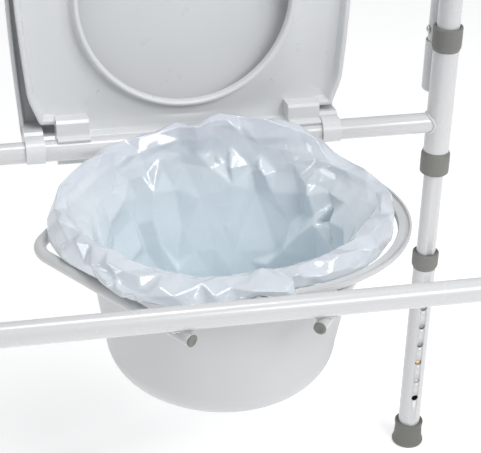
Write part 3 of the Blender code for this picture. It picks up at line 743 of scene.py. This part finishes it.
def pan():
    """The pan: foot ring, tapered wall with a step under the rim, flat rim, two ears."""
    top = PAN_RIM_Z + RIM_T
    outside = pan_side(0, PAN_BOTTOM_Z)
    inside = pan_side(PAN_WALL, PAN_BOTTOM_Z + PAN_WALL)
    foot_ring = [(0.052, PAN_BOTTOM_Z + 0.0012), (0.056, PAN_BOTTOM_Z), (0.066, PAN_BOTTOM_Z),
                 (0.070, PAN_BOTTOM_Z + 0.0006)]
    step_z = PAN_RIM_Z - 0.0120
    profile = [(0, PAN_BOTTOM_Z + 0.0012), *foot_ring, *outside[1:],
               (pan_radius(step_z), step_z), (pan_radius(step_z) + 0.0012, step_z + 0.0012),
               (PAN_R + 0.0004, PAN_RIM_Z - 0.0012), (RIM_R - 0.0040, PAN_RIM_Z),
               (RIM_R - 0.0012, PAN_RIM_Z),
               (RIM_R, PAN_RIM_Z + 0.0010), (RIM_R, top - 0.0011), (RIM_R - 0.0011, top),
               (PAN_R - PAN_WALL, top), *inside[::-1], (0, PAN_BOTTOM_Z + PAN_WALL)]
    bm = turned_bm(profile, 160, 0.0012)
    ear_r = 0.0066
    for _, sign in ENDS:
        outline = [(-0.010, top - 0.0004), (0.010, top - 0.0004)]
        outline += [(ear_r * math.cos(a), BAIL_Z + ear_r * math.sin(a))
                    for a in (math.radians(d) for d in range(0, 181, 12))]
        depths = sorted((sign * 0.1362, sign * 0.1392))
        join_bm(bm, loft([[(px, depth, pz) for px, pz in outline] for depth in depths]))
    piece = as_object("pan_body", bm, PAN_PLASTIC, PAN_PLACE)
    stand_for(piece, "pan", "pan_plastic", "pan")
    pin_y = 0.1345
    out, head = BAIL_OUT[1] + GAP - pin_y, 0.0052
    profile = [(0, 0), (PIN_R, 0), (PIN_R, out), (head, out), (head, out + 0.0009),
               (head - 0.0008, out + 0.0015), (0, out + 0.0017)]
    for end, sign in ENDS:
        matrix = PAN_PLACE @ Matrix.Translation((0, sign * pin_y, BAIL_Z))
        matrix = matrix @ Matrix.Rotation(-sign * math.pi / 2, 4, "X")
        pin = turned(f"bail_stud_{end}", profile, PAN_PLASTIC, 40, matrix, 0.0004)
        stand_for(pin, "pan", "pan_plastic", f"bail_pin_{end}")


def bail():
    """A half-ellipse band: outer lip, groove, inner land, ribbed underside, round ends."""
    half, steps = BAIL_T / 2, 120
    # across the band: share of the way from the inner edge to the outer, and height
    section = [(0.0, -half), (0.80, -half), (0.93, -half * 0.6), (1.0, half * 0.1), (1.0, half),
               (0.84, half), (0.78, half * 0.25), (0.62, half * 0.20), (0.56, half * 0.62),
               (0.06, half * 0.62), (0.0, half * 0.35)]
    section = soften(section, 0.12, 2, closed=True)
    rings = []
    for i in range(-2, steps + 3):
        a = math.radians(-90 + 180 * min(max(i, 0), steps) / steps)
        inner = Vector((BAIL_IN[0] * math.cos(a), BAIL_IN[1] * math.sin(a), 0))
        outer = Vector((BAIL_OUT[0] * math.cos(a), BAIL_OUT[1] * math.sin(a), 0))
        tail = max(0, -i, i - steps) * 0.0025
        shrink = 0.82 if tail > 0.004 else 1.0
        ring = []
        for share, height in section:
            point = inner + (outer - inner) * share
            ring.append(point + Vector((-tail, 0, BAIL_Z + height * shrink - point.x * BAIL_FALL)))
        rings.append(ring)
    piece = as_object("bail_band", loft(rings), PAN_PLASTIC, PAN_PLACE, angle=40)
    holes = bmesh.new()
    for _, sign in ENDS:
        near, far = (MIDDLE_Y + sign * y for y in (0.137, 0.153))
        join_bm(holes, rod_bm((PAN_X, near, BAIL_Z), (PAN_X, far, BAIL_Z), PIN_R + GAP))
    cut(piece, holes)
    stand_for(piece, "bail", "pan_plastic", "bail_handle")


# ---- liner ----
JOIN_Z = PAN_RIM_Z + RIM_T
LINER_Y = 0.1525  # the film stays this near the middle, clear of both cross tubes
LINER_COUNT, WALL_ROWS, FOLD_ROWS = 560, 150, 84
SQUASH_KEEP = 0.34
AROUND_R = 0.125  # metres round the pan for each radian, to compare angles with distances
FLOOR_Z = PAN_BOTTOM_Z + PAN_WALL
# Round the pan from the right by way of the rear, in degrees and millimetres: angle, radius and
# height of the fold's inner edge, of its crest, then the outer reach and the height of its hem.
FOLD = [
    (0, 147, 441, 158, 449, 168, 436),
    (15, 144, 441, 156, 450, 165, 437),
    (29, 136, 440, 147, 448.5, 158, 438),
    (41, 136, 443, 150, 459, 161, 451),
    (56, 134, 444, 148, 468, 161, 454.5),
    (68, 132, 444, 146, 467, 160, 457),
    (79, 131, 444, 142, 470, 155, 458),
    (91, 131, 444, 142, 467, 156, 458),
    (103, 132, 443, 143, 462, 158, 440),
    (118, 134, 441, 146, 456, 162, 430),
    (134, 138, 441, 148, 455, 164, 426),
    (150, 146, 440, 156, 451, 168, 418),
    (166, 150, 440, 158, 449, 171, 420),
    (180, 146, 440, 157, 449, 170, 422),
    (192, 137, 439, 152, 448, 165, 421),
    (205, 129, 439, 147, 447, 158, 423.5),
    (216, 123, 439, 142, 446, 159, 427),
    (228, 122, 439, 139, 446, 167, 428),
    (239, 124, 438, 137, 445.5, 168, 431),
    (247, 121, 438, 133, 445.5, 159, 429),
    (256, 117, 438, 130, 445.5, 155, 427),
    (263, 114, 438, 128, 445, 154, 430),
    (270, 112, 438, 127, 445, 153, 437),
    (276, 112, 438, 127, 445, 155, 433),
    (282, 115, 438, 129, 446, 157, 433),
    (287.5, 118, 438, 131, 446.5, 144, 430),
    (300, 121, 438, 134, 447.5, 147.5, 428),
    (314, 122, 438, 137, 448, 154, 427),
    (330, 129, 438, 144, 449, 160, 427),
    (346, 141, 439, 154, 449.5, 165, 431),
]
REAR_PIN, FRONT_PIN = 91.0, 269.0
TUCK = (262.0, 284.0)  # the part of the fold that lies over the bail's front end
TUCK_Y = 0.1375
# Creases down the wall. Each is a run of angle, height, and how far the film stands in from the
# pan, in degrees and millimetres.
WALL_CREASES = [
    [(80, 442, 5), (84, 420, 9), (90, 388, 13), (98, 350, 12), (104, 320, 7)],
    [(76, 446, 4), (75, 425, 15), (73, 404, 17), (66, 400, 12)],
    [(66, 440, 1), (64, 418, 2), (62, 396, 4)],
    [(61, 437, 10), (57, 420, 14), (53, 400, 9)],
    [(40, 436, 2), (39, 405, 3), (42, 370, 4), (47, 335, 5)],
    [(33, 438, 12), (30, 415, 17), (24, 396, 14)],
    [(22, 437, 1), (17, 410, 2), (13, 395, 4)],
    [(50, 322, 16), (40, 345, 20), (31, 368, 21), (20, 390, 20), (10, 403, 17),
     (355, 412, 11)],
    [(46, 302, 3), (34, 322, 3), (20, 348, 4), (4, 372, 5)],
    [(112, 436, 7), (116, 405, 15), (119, 378, 18), (116, 349, 17), (104, 310, 12)],
    [(119, 434, 2), (123, 402, 3), (126, 374, 5), (122, 342, 5), (111, 302, 5)],
    [(103, 434, 2), (102, 398, 6), (100, 355, 6)],
    [(94, 330, 16), (82, 334, 19), (70, 332, 17)],
    [(84, 306, 14), (72, 310, 17), (61, 320, 13)],
    [(140, 436, 4), (136, 412, 12), (130, 384, 9), (127, 352, 12)],
    [(158, 434, 3), (150, 400, 11), (146, 378, 8), (147, 340, 12)],
    [(178, 434, 3), (172, 395, 13), (175, 350, 10)],
    [(206, 436, 4), (214, 392, 14), (208, 345, 9)],
    [(238, 436, 2), (232, 395, 11), (240, 350, 12)],
    [(268, 434, 3), (274, 392, 13), (266, 345, 8)],
    [(302, 436, 3), (298, 396, 12), (306, 352, 11)],
    [(332, 434, 3), (338, 402, 10), (334, 360, 12)],
]


def round_table(theta, column):
    """A column of FOLD at any angle, as a smooth closed curve through its rows."""
    angles = [row[0] for row in FOLD]
    values = [row[column] / 1000 for row in FOLD]
    turn = np.degrees(theta) % 360
    wide = np.array([a - 360 for a in angles] + angles + [a + 360 for a in angles], float)
    many = np.array(values * 3, float)
    slopes = np.gradient(many, wide)
    index = np.clip(np.searchsorted(wide, turn, side="right") - 1, 0, len(wide) - 2)
    gap = wide[index + 1] - wide[index]
    t = (turn - wide[index]) / gap
    return (
        many[index] * (2 * t ** 3 - 3 * t ** 2 + 1)
        + slopes[index] * gap * (t ** 3 - 2 * t ** 2 + t)
        + many[index + 1] * (3 * t ** 2 - 2 * t ** 3) + slopes[index + 1] * gap * (t ** 3 - t ** 2)
    )


def catmull(controls, samples):
    """Points on a smooth curve through control points, one curve for each angle."""
    count = len(controls)
    out = []
    for i in range(samples):
        t = (count - 1) * i / (samples - 1)
        k = min(int(t), count - 2)
        f = t - k
        p0, p1 = controls[max(k - 1, 0)], controls[k]
        p2, p3 = controls[k + 1], controls[min(k + 2, count - 1)]
        out.append(0.5 * (2 * p1 + (p2 - p0) * f + (2 * p0 - 5 * p1 + 4 * p2 - p3) * f ** 2
                          + (3 * p1 - p0 - 3 * p2 + p3) * f ** 3))
    return np.array(out)


def degrees_away(theta, at):
    """How far an angle is from another, in degrees, -180 to 180."""
    return (np.degrees(theta) - at + 180) % 360 - 180


def fold_profiles(theta):
    """Control points of the film's section at every angle: up the wall, and out over the rim."""
    inner_r, inner_z, crest_r, crest_z, reach, hem_z = (round_table(theta, k) for k in range(1, 7))
    # near the rear pin the film is drawn in over the rim
    pull = np.exp(-((degrees_away(theta, REAR_PIN) / 4.2) ** 2))
    tight = np.clip(pull * 1.4, 0, 1)
    reach = reach + (0.1335 - reach) * tight
    crest_r = crest_r + (0.1300 - crest_r) * tight
    inner_r = inner_r + (0.1250 - inner_r) * pull
    hem_z = hem_z + (0.4420 - hem_z) * tight
    reach = np.minimum(reach, LINER_Y / np.maximum(np.abs(np.sin(theta)), 1e-6))
    one = np.ones_like(theta)
    floor_z = FLOOR_Z + 0.0030

    def pair(r, z):
        return np.stack([r * one, z * one])

    wall = [
        pair(0.0005, floor_z), pair(0.045, floor_z), pair(0.080, floor_z + 0.0006),
        pair(0.103, 0.281), pair(0.1135, 0.318), pair(0.1210, 0.360), pair(0.1265, 0.395),
        pair(0.1290, JOIN_Z),
    ]
    rise = np.maximum(inner_z, JOIN_Z + 0.010)
    roll = [
        wall[-1], pair(inner_r, rise),
        pair((inner_r + crest_r) / 2, (rise + 2 * crest_z) / 3), pair(crest_r, crest_z),
        pair((crest_r + 2 * reach) / 3, crest_z * 0.8 + hem_z * 0.2),
        pair(reach, crest_z * 0.4 + hem_z * 0.6), pair(reach - 0.0012, hem_z),
    ]
    return wall, roll


def faceted(theta, along, points, places, edges):
    """The film as flat facets: the grid's points moved onto triangles between scattered places.

    places holds angle, distance along the section and the point that the film passes there.
    """
    margin, near_by = 0.7, 1.2  # radians that the places repeat past the seam, and an edge's most
    wide, source, where = [], [], {}
    for turn in (-1, 0, 1):
        for i, (a, s, _) in enumerate(places):
            at = a + turn * 2 * math.pi
            if -margin < at < 2 * math.pi + margin:
                where.setdefault(i, []).append(len(wide))
                wide.append(Vector((at * AROUND_R, s)))
                source.append(i)
    lines = []
    for i, j in edges:
        for a in where[i]:
            lines += [(a, b) for b in where[j]
                      if abs(wide[a].x - wide[b].x) < near_by * AROUND_R]
    verts, _, faces, origin, _, _ = delaunay_2d_cdt(wide, lines, [], 0, 1e-6)
    spots = np.array([(v.x, v.y) for v in verts])
    held = np.array([places[source[o[0]]][2] if o else (np.nan,) * 3 for o in origin])
    x = theta * AROUND_R
    out = points.copy()
    for face in faces:
        a, b, c = (spots[k] for k in face)
        if np.isnan(held[list(face)]).any():
            continue
        det = (b[0] - a[0]) * (c[1] - a[1]) - (c[0] - a[0]) * (b[1] - a[1])
        if abs(det) < 1e-12:
            continue
        (low_x, low_s), (high_x, high_s) = np.min((a, b, c), axis=0), np.max((a, b, c), axis=0)
        i0, i1 = np.searchsorted(x, [low_x - 1e-9, high_x + 1e-9])
        j0, j1 = np.searchsorted(along, [low_s - 1e-9, high_s + 1e-9])
        if i1 <= i0 or j1 <= j0:
            continue
        gx, gy = x[i0:i1][None, :] - a[0], along[j0:j1][:, None] - a[1]
        u = (gx * (c[1] - a[1]) - gy * (c[0] - a[0])) / det
        v = (gy * (b[0] - a[0]) - gx * (b[1] - a[1])) / det
        inside = (u >= -1e-6) & (v >= -1e-6) & (u + v <= 1 + 1e-6)
        pa, pb, pc = (held[k] for k in face)
        flat = pa + u[..., None] * (pb - pa) + v[..., None] * (pc - pa)
        block = out[j0:j1, i0:i1]
        block[inside] = flat[inside]
    return out


def blurred(grid, times):
    """Each value averaged with its neighbours, round the pan and along the section."""
    for _ in range(times):
        grid = (np.roll(grid, 1, axis=1) + 2 * grid + np.roll(grid, -1, axis=1)) / 4
        padded = np.concatenate([grid[:1], grid, grid[-1:]])
        grid = (padded[:-2] + 2 * padded[1:-1] + padded[2:]) / 4
    return grid


def liner_places(along, sample, row_at):
    """Scattered places on the film: the wall's creases, loose ones between, and the fold's."""
    draw = random.Random(17)
    places, edges = [], []

    def add(degrees, s, inwards, lift=0.0):
        a = math.radians(degrees) % (2 * math.pi)
        places.append((a, s, sample(a, s, inwards, lift)))
        return len(places) - 1

    for run in WALL_CREASES:
        last = None
        for degrees, z, inwards in run:
            new = add(degrees, row_at(z / 1000), inwards / 1000)
            if last is not None:
                edges.append((last, new))
            last = new

    def clear_of(degrees, s, space):
        a = math.radians(degrees)
        return all(
            math.hypot(((a - b + math.pi) % (2 * math.pi) - math.pi) * AROUND_R, s - t) > space
            for b, t, _ in places)

    join = along[WALL_ROWS - 1]
    for s, count, low, high in [(0.030, 6, 0, 3), (0.066, 9, 0, 4), (0.098, 12, 1, 7),
                                (row_at(0.306), 12, 1, 6), (row_at(0.345), 9, 1, 6),
                                (row_at(0.385), 10, 0, 5)]:
        for k in range(count):
            degrees = (k + draw.uniform(-0.3, 0.3)) * 360 / count
            at = s + draw.uniform(-0.007, 0.007)
            if clear_of(degrees, at, 0.019):
                add(degrees, at, draw.uniform(low, high) / 1000)
    for k in range(34):
        degrees = (k + draw.uniform(-0.3, 0.3)) * 360 / 34
        add(degrees, join + draw.uniform(-0.003, 0.002), draw.uniform(-0.5, 4.0) / 1000)
    end = along[-1]
    for share, count, loose in [(0.20, 30, 2.2), (0.38, 40, 2.6), (0.52, 34, 3.0),
                                (0.70, 36, 2.6), (0.86, 34, 2.4)]:
        for k in range(count):
            degrees = (k + draw.uniform(-0.38, 0.38)) * 360 / count
            at = join + (end - join) * (share + draw.uniform(-0.06, 0.06))
            inwards = 0 if abs(degrees - REAR_PIN) < 9 else draw.uniform(-loose, loose) / 1000
            add(degrees, at, inwards, draw.uniform(-0.6, 1.4) / 1000)
        for away in (-7.5, -3.2, 0, 3.2, 7.5):
            add(REAR_PIN + away, join + (end - join) * share, 0)
    for k in range(60):
        add(k * 6, end, draw.uniform(-1.4, 1.2) / 1000)
    # the pocket at the fold's front left
    for degrees, widen in [(211, 0.2), (215, 0.9), (219, 1.0), (223, 1.0), (227, 1.0), (231, 0.8),
                           (234, 0.2)]:
        for share, out, lift in [(0.78, 4.5, 0.5), (0.83, 3.0, -2.0), (0.86, -5.0, -2.5),
                                 (0.91, -6.0, -3.0), (0.95, 1.0, -1.5)]:
            at = join + (end - join) * share
            add(degrees, at, -out * widen / 1000, lift * widen / 1000)
    add(0, 0, 0)
    return places, edges


def crinkles(theta, along, seed, count):
    """A height field of small flat facets, patchy, to lay over the large ones."""
    draw = random.Random(seed)
    places = []
    for _ in range(count):
        a, s = draw.uniform(0, 2 * math.pi), draw.uniform(0, along[-1])
        patch = 0.5 + 0.5 * math.sin(3 * a + 40 * s + seed) * math.sin(5 * a - 25 * s)
        places.append((a, s, (draw.uniform(-1, 1) * patch, 0, 0)))
    for k in range(40):
        places += [(k * math.pi / 20, s, (0, 0, 0)) for s in (0, along[-1])]
    flat = np.zeros((len(along), len(theta), 3))
    return faceted(theta, along, flat, places, [])[:, :, 0]


def kept_clear(r, z, around, tuck):
    """The film kept clear of the pan's wall and rim, the bail, the tubes and the seat behind."""
    rows = np.arange(len(r))
    past = (rows >= WALL_ROWS + 2)[:, None]
    clear = PAN_WALL + 0.0007
    start_z = PAN_BOTTOM_Z + PAN_ROUND
    drop = np.clip((start_z - z) / (PAN_ROUND - clear), 0, 1)
    corner_r = pan_radius(start_z) - PAN_ROUND + (PAN_ROUND - clear) * np.sqrt(1 - drop ** 2)
    wall_r = np.where(z < start_z, corner_r, pan_radius(np.minimum(z, PAN_RIM_Z)) - clear)
    inside = (rows < WALL_ROWS + 3)[:, None] & (z < JOIN_Z + 0.0010)
    r = np.maximum(np.where(inside, np.minimum(r, wall_r), r), 0.0004)
    z = np.maximum(z, FLOOR_Z + 0.0008)
    on_rim = past & (r > PAN_R - PAN_WALL - 0.002) & (r < RIM_R + 0.0016)
    z = np.where(on_rim, np.maximum(z, JOIN_Z + 0.0012), z)
    r = np.minimum(r, LINER_Y / np.maximum(np.abs(np.sin(around)), 1e-6))

    def band_edge(half_axes, more):
        """Radius of an edge of the bail's band, moved outwards by more."""
        return 1 / np.hypot(np.cos(around) / (half_axes[0] + more),
                            np.sin(around) / (half_axes[1] + more))

    on_bail = past & (np.cos(around) > -0.12)
    band_in, band_out = band_edge(BAIL_IN, -0.0012), band_edge(BAIL_OUT, 0.0008)
    band_top = BAIL_Z + BAIL_T / 2 + 0.0008 - r * np.cos(around) * BAIL_FALL
    flattened_top = JOIN_Z + (band_top - JOIN_Z) / SQUASH_KEEP
    r = np.where(on_bail & ~tuck & (z < flattened_top), np.minimum(r, band_in), r)
    z = np.where(on_bail & (r > band_in) & (r < band_out), np.maximum(z, band_top), z)
    ear = (np.abs(np.degrees(around) - FRONT_PIN) < 6) & past & (r > 0.133) & (r < 0.142)
    return r, np.where(ear, np.maximum(z, BAIL_Z + 0.0078), z)


def liner():
    """Film pushed loosely into the pan in large flat facets, then folded out over the rim."""
    theta = np.linspace(0, 2 * math.pi, LINER_COUNT, endpoint=False)
    wall, roll = fold_profiles(theta)
    grid = np.concatenate([catmull(wall, WALL_ROWS), catmull(roll, FOLD_ROWS)[1:]])
    r, z = grid[:, 0, :], grid[:, 1, :]
    steps = np.hypot(np.diff(r, axis=0), np.diff(z, axis=0)).mean(axis=1)
    along = np.concatenate([[0], np.cumsum(steps)])
    dr, dz = np.gradient(r, axis=0), np.gradient(z, axis=0)
    length = np.maximum(np.hypot(dr, dz), 1e-9)
    normal_r, normal_z = -dz / length, dr / length
    mean_z = z.mean(axis=1)

    def row_at(height):
        """Distance along the section at which the wall stands this high."""
        return float(np.interp(height, mean_z[:WALL_ROWS], along[:WALL_ROWS]))

    def sample(a, s, inwards, lift):
        i = int(round(a / (2 * math.pi) * LINER_COUNT)) % LINER_COUNT
        j = float(np.interp(s, along, np.arange(len(along))))
        low = min(int(j), len(along) - 2)
        f = j - low
        at_r, at_z = (g[low, i] * (1 - f) + g[low + 1, i] * f for g in (r, z))
        n_r, n_z = (g[low, i] * (1 - f) + g[low + 1, i] * f for g in (normal_r, normal_z))
        out = max(at_r + inwards * n_r, 0.0)
        return (out * math.cos(a), out * math.sin(a), at_z + inwards * n_z + lift)

    around = np.broadcast_to(theta, r.shape)
    smooth = np.stack([r * np.cos(around), r * np.sin(around), z], axis=2)
    places, edges = liner_places(along, sample, row_at)
    points = faceted(theta, along, smooth, places, edges)
    points = 0.9 * blurred(points, 1) + 0.1 * smooth
    small = blurred(crinkles(theta, along, 3, 700), 1)
    fine = blurred(crinkles(theta, along, 8, 2600), 1)
    rows = np.arange(len(r))
    fold_share = np.clip((rows - WALL_ROWS + 12) / 24, 0, 1)[:, None]
    push = (0.0007 + 0.0013 * fold_share) * small + (0.0001 + 0.0003 * fold_share) * fine
    r = np.hypot(points[:, :, 0], points[:, :, 1]) + push * normal_r
    at_join = np.minimum(np.abs(rows - (WALL_ROWS - 1)) / 8.0, 1)[:, None]
    z = z + (points[:, :, 2] + push * normal_z - z) * at_join
    degrees = np.degrees(around)
    tuck = (degrees > TUCK[0]) & (degrees < TUCK[1])
    r, z = kept_clear(r, z, around, tuck)
    points = np.stack([r * np.cos(around), r * np.sin(around), z], axis=2)
    everywhere = np.ones(r.shape, bool)
    bag = film_sheet("liner_bag_film", points[:WALL_ROWS], everywhere[:WALL_ROWS], True)
    stand_for(bag, "pan", "liner_film", "liner_bag")
    lies_out = np.abs(points[:, :, 1]) > TUCK_Y
    first_out = min(int(np.argmax(lies_out[WALL_ROWS:, i])) for i in np.nonzero(tuck[0])[0])
    tucked = (tuck & (rows >= WALL_ROWS + first_out)[:, None])[WALL_ROWS - 1:]
    over_rim = points[WALL_ROWS - 1:]
    top = film_sheet("liner_fold_film", over_rim, ~tucked, False)
    stand_for(top, "pan", "liner_film")
    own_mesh(top)
    flap = film_sheet("liner_front_film", over_rim, tucked, False)
    stand_for(flap, "pan", "liner_film")
    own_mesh(flap)


def film_sheet(name, grid, keep, closed_bottom):
    """The cells of the grid whose first corner is kept, as one skin."""
    rows, count = grid.shape[:2]
    bm = bmesh.new()
    verts = {}

    def vert(j, i):
        key = (j, i % count)
        if key not in verts:
            verts[key] = bm.verts.new(grid[key])
        return verts[key]

    for j in range(rows - 1):
        for i in range(count):
            if keep[j, i]:
                bm.faces.new((vert(j, i), vert(j, i + 1), vert(j + 1, i + 1), vert(j + 1, i)))
    if closed_bottom:
        bm.faces.new([vert(0, i) for i in range(count)][::-1])
    return as_object(name, bm, LINER_FILM, PAN_PLACE, angle=80)


# ---- seat and lid, drawn lying flat with the hinge axis as their origin ----
def side_curve(rear, length, half, start_half, shoulder, count):
    """Right-hand side of an outline, from near the hinge round to the front's middle."""
    points = []
    for i in range(12):
        t = i / 11
        x = start_half + (half - start_half) * math.sin(t * math.pi / 2)
        points.append((x, rear + (shoulder - rear) * t))
    power = 2 / 2.5
    for i in range(1, count + 1):
        a = math.pi / 2 * i / count
        y = shoulder + (length - shoulder) * math.sin(a) ** power
        points.append((half * math.cos(a) ** power, y))
    return points


def mirrored(half_outline):
    return half_outline + [(-x, y) for x, y in half_outline[::-1] if x > 1e-9]


def even_points(outline, spacing):
    """The same closed outline with points no further apart than the spacing."""
    out = []
    for i, (x, y) in enumerate(outline):
        nx, ny = outline[(i + 1) % len(outline)]
        parts = max(1, math.ceil(math.hypot(nx - x, ny - y) / spacing))
        out += [(x + (nx - x) * k / parts, y + (ny - y) * k / parts) for k in range(parts)]
    return out


def seat_outline():
    clip_out = SEAT_CLIP[1]
    rear = [(0.0, SEAT_REAR), (clip_out, SEAT_REAR), (clip_out, 0.0240), (0.1560, 0.0240),
            (0.1655, 0.0480)]
    side = side_curve(0.0560, SEAT_LENGTH, SEAT_HALF, 0.1675, 0.200, 34)
    return even_points(mirrored(soften(rear, 0.0050, 6)[1:] + side), 0.006)


def lid_outline():
    rear = soften([(0.0, 0.0050), (0.1680, 0.0050), (0.1690, 0.0200)], 0.006, 6)
    side = side_curve(0.0220, LID_LENGTH, SEAT_HALF + 0.0005, 0.1690, 0.200, 34)
    return even_points(mirrored(rear[1:] + side), 0.006)


def inwards(outline, distance):
    """Offset a closed outline square to itself, inwards, smoothed where it turns sharply."""
    points = np.array(outline)
    tangent = np.roll(points, -2, axis=0) - np.roll(points, 2, axis=0)
    tangent /= np.maximum(np.linalg.norm(tangent, axis=1), 1e-9)[:, None]
    normal = np.stack([-tangent[:, 1], tangent[:, 0]], axis=1)
    centre = points.mean(axis=0)
    normal *= np.sign(np.sum(np.sum(normal * (centre - points), axis=1)))
    for _ in range(3):
        normal = (np.roll(normal, 1, axis=0) + normal * 2 + np.roll(normal, -1, axis=0)) / 4
    return points + normal * distance


def opening_at(outline):
    """The point of the seat opening's edge in the direction of each outline point."""
    edge = []
    for x, y in outline:
        dx, dy = x, y - HOLE_CENTRE
        length = OPENING[2] if dy > 0 else OPENING[1]
        k = 1 / math.hypot(dx / OPENING[0], dy / length)
        edge.append((dx * k, HOLE_CENTRE + dy * k))
    return np.array(edge)


def flat_row(points, height):
    return [(x, -forward, height) for x, forward in points]


def arc(radius, start, stop, count):
    angles = [math.radians(start + (stop - start) * i / count) for i in range(count + 1)]
    return [(-radius * math.cos(a), radius * math.sin(a)) for a in angles]


def clip(limits, span, block, side):
    """A moulded C-shaped clip round the hinge tube with the block that joins it to its panel."""
    low, high = sorted((side * limits[0], side * limits[1]))
    (near, far), (base, rise) = block
    meets_base = math.degrees(math.asin(base / CLIP_R))
    meets_back = math.degrees(math.acos(near / CLIP_R))
    stop = math.radians(span[1])
    lip = (-CLIP_R * math.cos(stop) + 0.0050, CLIP_R * math.sin(stop) + 0.0016)
    outline = arc(CLIP_R, span[0], meets_base, 14)
    outline += [(0.003 - far, base), (-far, base + 0.003), (-far, rise), (-near, rise)]
    outline += arc(CLIP_R, meets_back, span[1], 18)
    outline += [lip, (lip[0] + 0.0004, lip[1] - 0.0030)]
    outline += arc(CLIP_BORE, span[1], span[0], 40)
    bm = loft([[(x, y, z) for y, z in outline] for x in (low, high)])
    sharp = [e for e in bm.edges if e.calc_face_angle(0) > math.radians(40)]
    bmesh.ops.bevel(bm, geom=sharp, offset=0.0007, segments=3, affect="EDGES",
                    clamp_overlap=True)
    return bm


def seat():
    """A skirted ring: lip, smooth panel, rolled edge round the opening, two clips."""
    outline = seat_outline()
    edge = opening_at(outline)
    centre = np.array((0, HOLE_CENTRE))
    outward = edge - centre
    outward /= np.linalg.norm(outward, axis=1)[:, None]
    low, high = SEAT_H
    ceiling = high - 0.0045
    outer = [(0.0160, ceiling), (0.0100, ceiling - 0.0012), (0.0074, ceiling - 0.0016),
             (0.0060, low + 0.0030), (0.0050, low), (0, low), (0.0002, high - 0.0050),
             (0.0050, high), (0.0160, high)]
    roll = [(0.0300, high), (0.0080, high - 0.0002), (0.0, high - 0.0050), (0.0, low + 0.0030),
            (0.0016, low + 0.0006), (0.0044, low + 0.0006), (0.0056, low + 0.0034),
            (0.0064, ceiling - 0.0006), (0.0150, ceiling)]
    outer, roll = soften(outer, 0.0030, 4), soften(roll, 0.0028, 4)
    rows = [flat_row(inwards(outline, d), h) for d, h in outer]
    last_out, first_roll = inwards(outline, outer[-1][0]), edge + outward * roll[0][0]
    for k in range(1, 8):
        t = k / 8
        crown = 0.0010 * math.sin(math.pi * t)
        rows.append(flat_row(last_out * (1 - t) + first_roll * t, high + crown))
    rows += [flat_row(edge + outward * e, h) for e, h in roll]
    first_out, last_roll = inwards(outline, outer[0][0]), edge + outward * roll[-1][0]
    for k in range(1, 8):
        t = k / 8
        crown = 0.0008 * math.sin(math.pi * t)
        rows.append(flat_row(last_roll * (1 - t) + first_out * t, ceiling + crown))
    bm = loft(rows, wrap=True)
    for _, sign in SIDES:
        join_bm(bm, clip(SEAT_CLIP, (-35, 150), ((0.004, 0.030), (0.002, 0.0262)), sign))
    place = Matrix.Translation((SEAT_X, 0, 0)) @ HINGE
    piece = as_object("seat_ring", bm, SEAT_PLASTIC, place, angle=40)
    stand_for(piece, "seat", "seat_plastic", "seat")
    profile = [(0, 0.0112), (0.0050, 0.0112), (0.0062, 0.0124), (0.0062, 0.0150),
               (0.0055, 0.0165), (0.0055, ceiling), (0, ceiling)]
    for side, sign in SIDES:
        matrix = place @ Matrix.Translation((sign * 0.120, -2 * LEG_Y, 0))
        stud = turned(f"seat_stud_{side}", profile, RUBBER, 40, matrix, 0.0008)
        stand_for(stud, "seat", "rubber", f"seat_bumper_{side}")


def lid():
    """A shallow skirted cover, slightly crowned, with two narrow clips."""
    outline = lid_outline()
    low, high = LID_H
    ceiling = high - 0.0035
    section = [(0.0160, ceiling), (0.0062, ceiling - 0.0008), (0.0046, low + 0.0020),
               (0.0038, low), (0, low), (0, high - 0.0055), (0.0055, high),
               (0.0170, high + 0.0001)]
    section = soften(section, 0.0030, 5)
    rows = [flat_row(inwards(outline, d), h) for d, h in section]
    centre = np.array((0, 0.190))
    first, last = inwards(outline, section[0][0]), inwards(outline, section[-1][0])
    # share of the way out from the centre, and how far the cover rises there
    dish = [(0.86, 0.0002), (0.68, 0.0007), (0.50, 0.0010), (0.30, 0.0012), (0.12, 0.0013),
            (0.01, 0.0013)]
    top_rows = [flat_row(centre + (last - centre) * k, high + lift) for k, lift in dish]
    under_rows = [flat_row(centre + (first - centre) * k, ceiling + lift) for k, lift in dish]
    bm = loft(under_rows[::-1] + rows + top_rows)
    for _, sign in SIDES:
        join_bm(bm, clip(LID_CLIP, (-130, 130), ((0.0, 0.019), (0.004, 0.0432)), sign))
    piece = as_object("lid_cover", bm, SEAT_PLASTIC, HINGE, angle=40)
    stand_for(piece, "lid", "seat_plastic", "lid")
    base = SEAT_H[1] + GAP
    profile = [(0, base), (0.0040, base), (0.0052, base + 0.0009), (0.0052, ceiling),
               (0, ceiling)]
    for side, sign in SIDES:
        matrix = HINGE @ Matrix.Translation((sign * 0.146, -0.200, 0))
        stud = turned(f"lid_stud_{side}", profile, RUBBER, 40, matrix, 0.0006)
        stand_for(stud, "lid", "rubber", f"lid_bumper_{side}")


# ---- the whole chair ----
camera()
studio()
for end_name, end_sign in ENDS:
    cross_tube(end_name, end_sign)
    for side_name, side_sign in SIDES:
        sleeve_set(end_name, end_sign, side_name, side_sign)
        leg(end_name, end_sign, side_name, side_sign)
for side_name, side_sign in SIDES:
    bucket_rail(side_name, side_sign)
    backrest_socket(side_name, side_sign)
    arm(side_name, side_sign)
backrest()
pan()
bail()
liner()
seat()
lid()
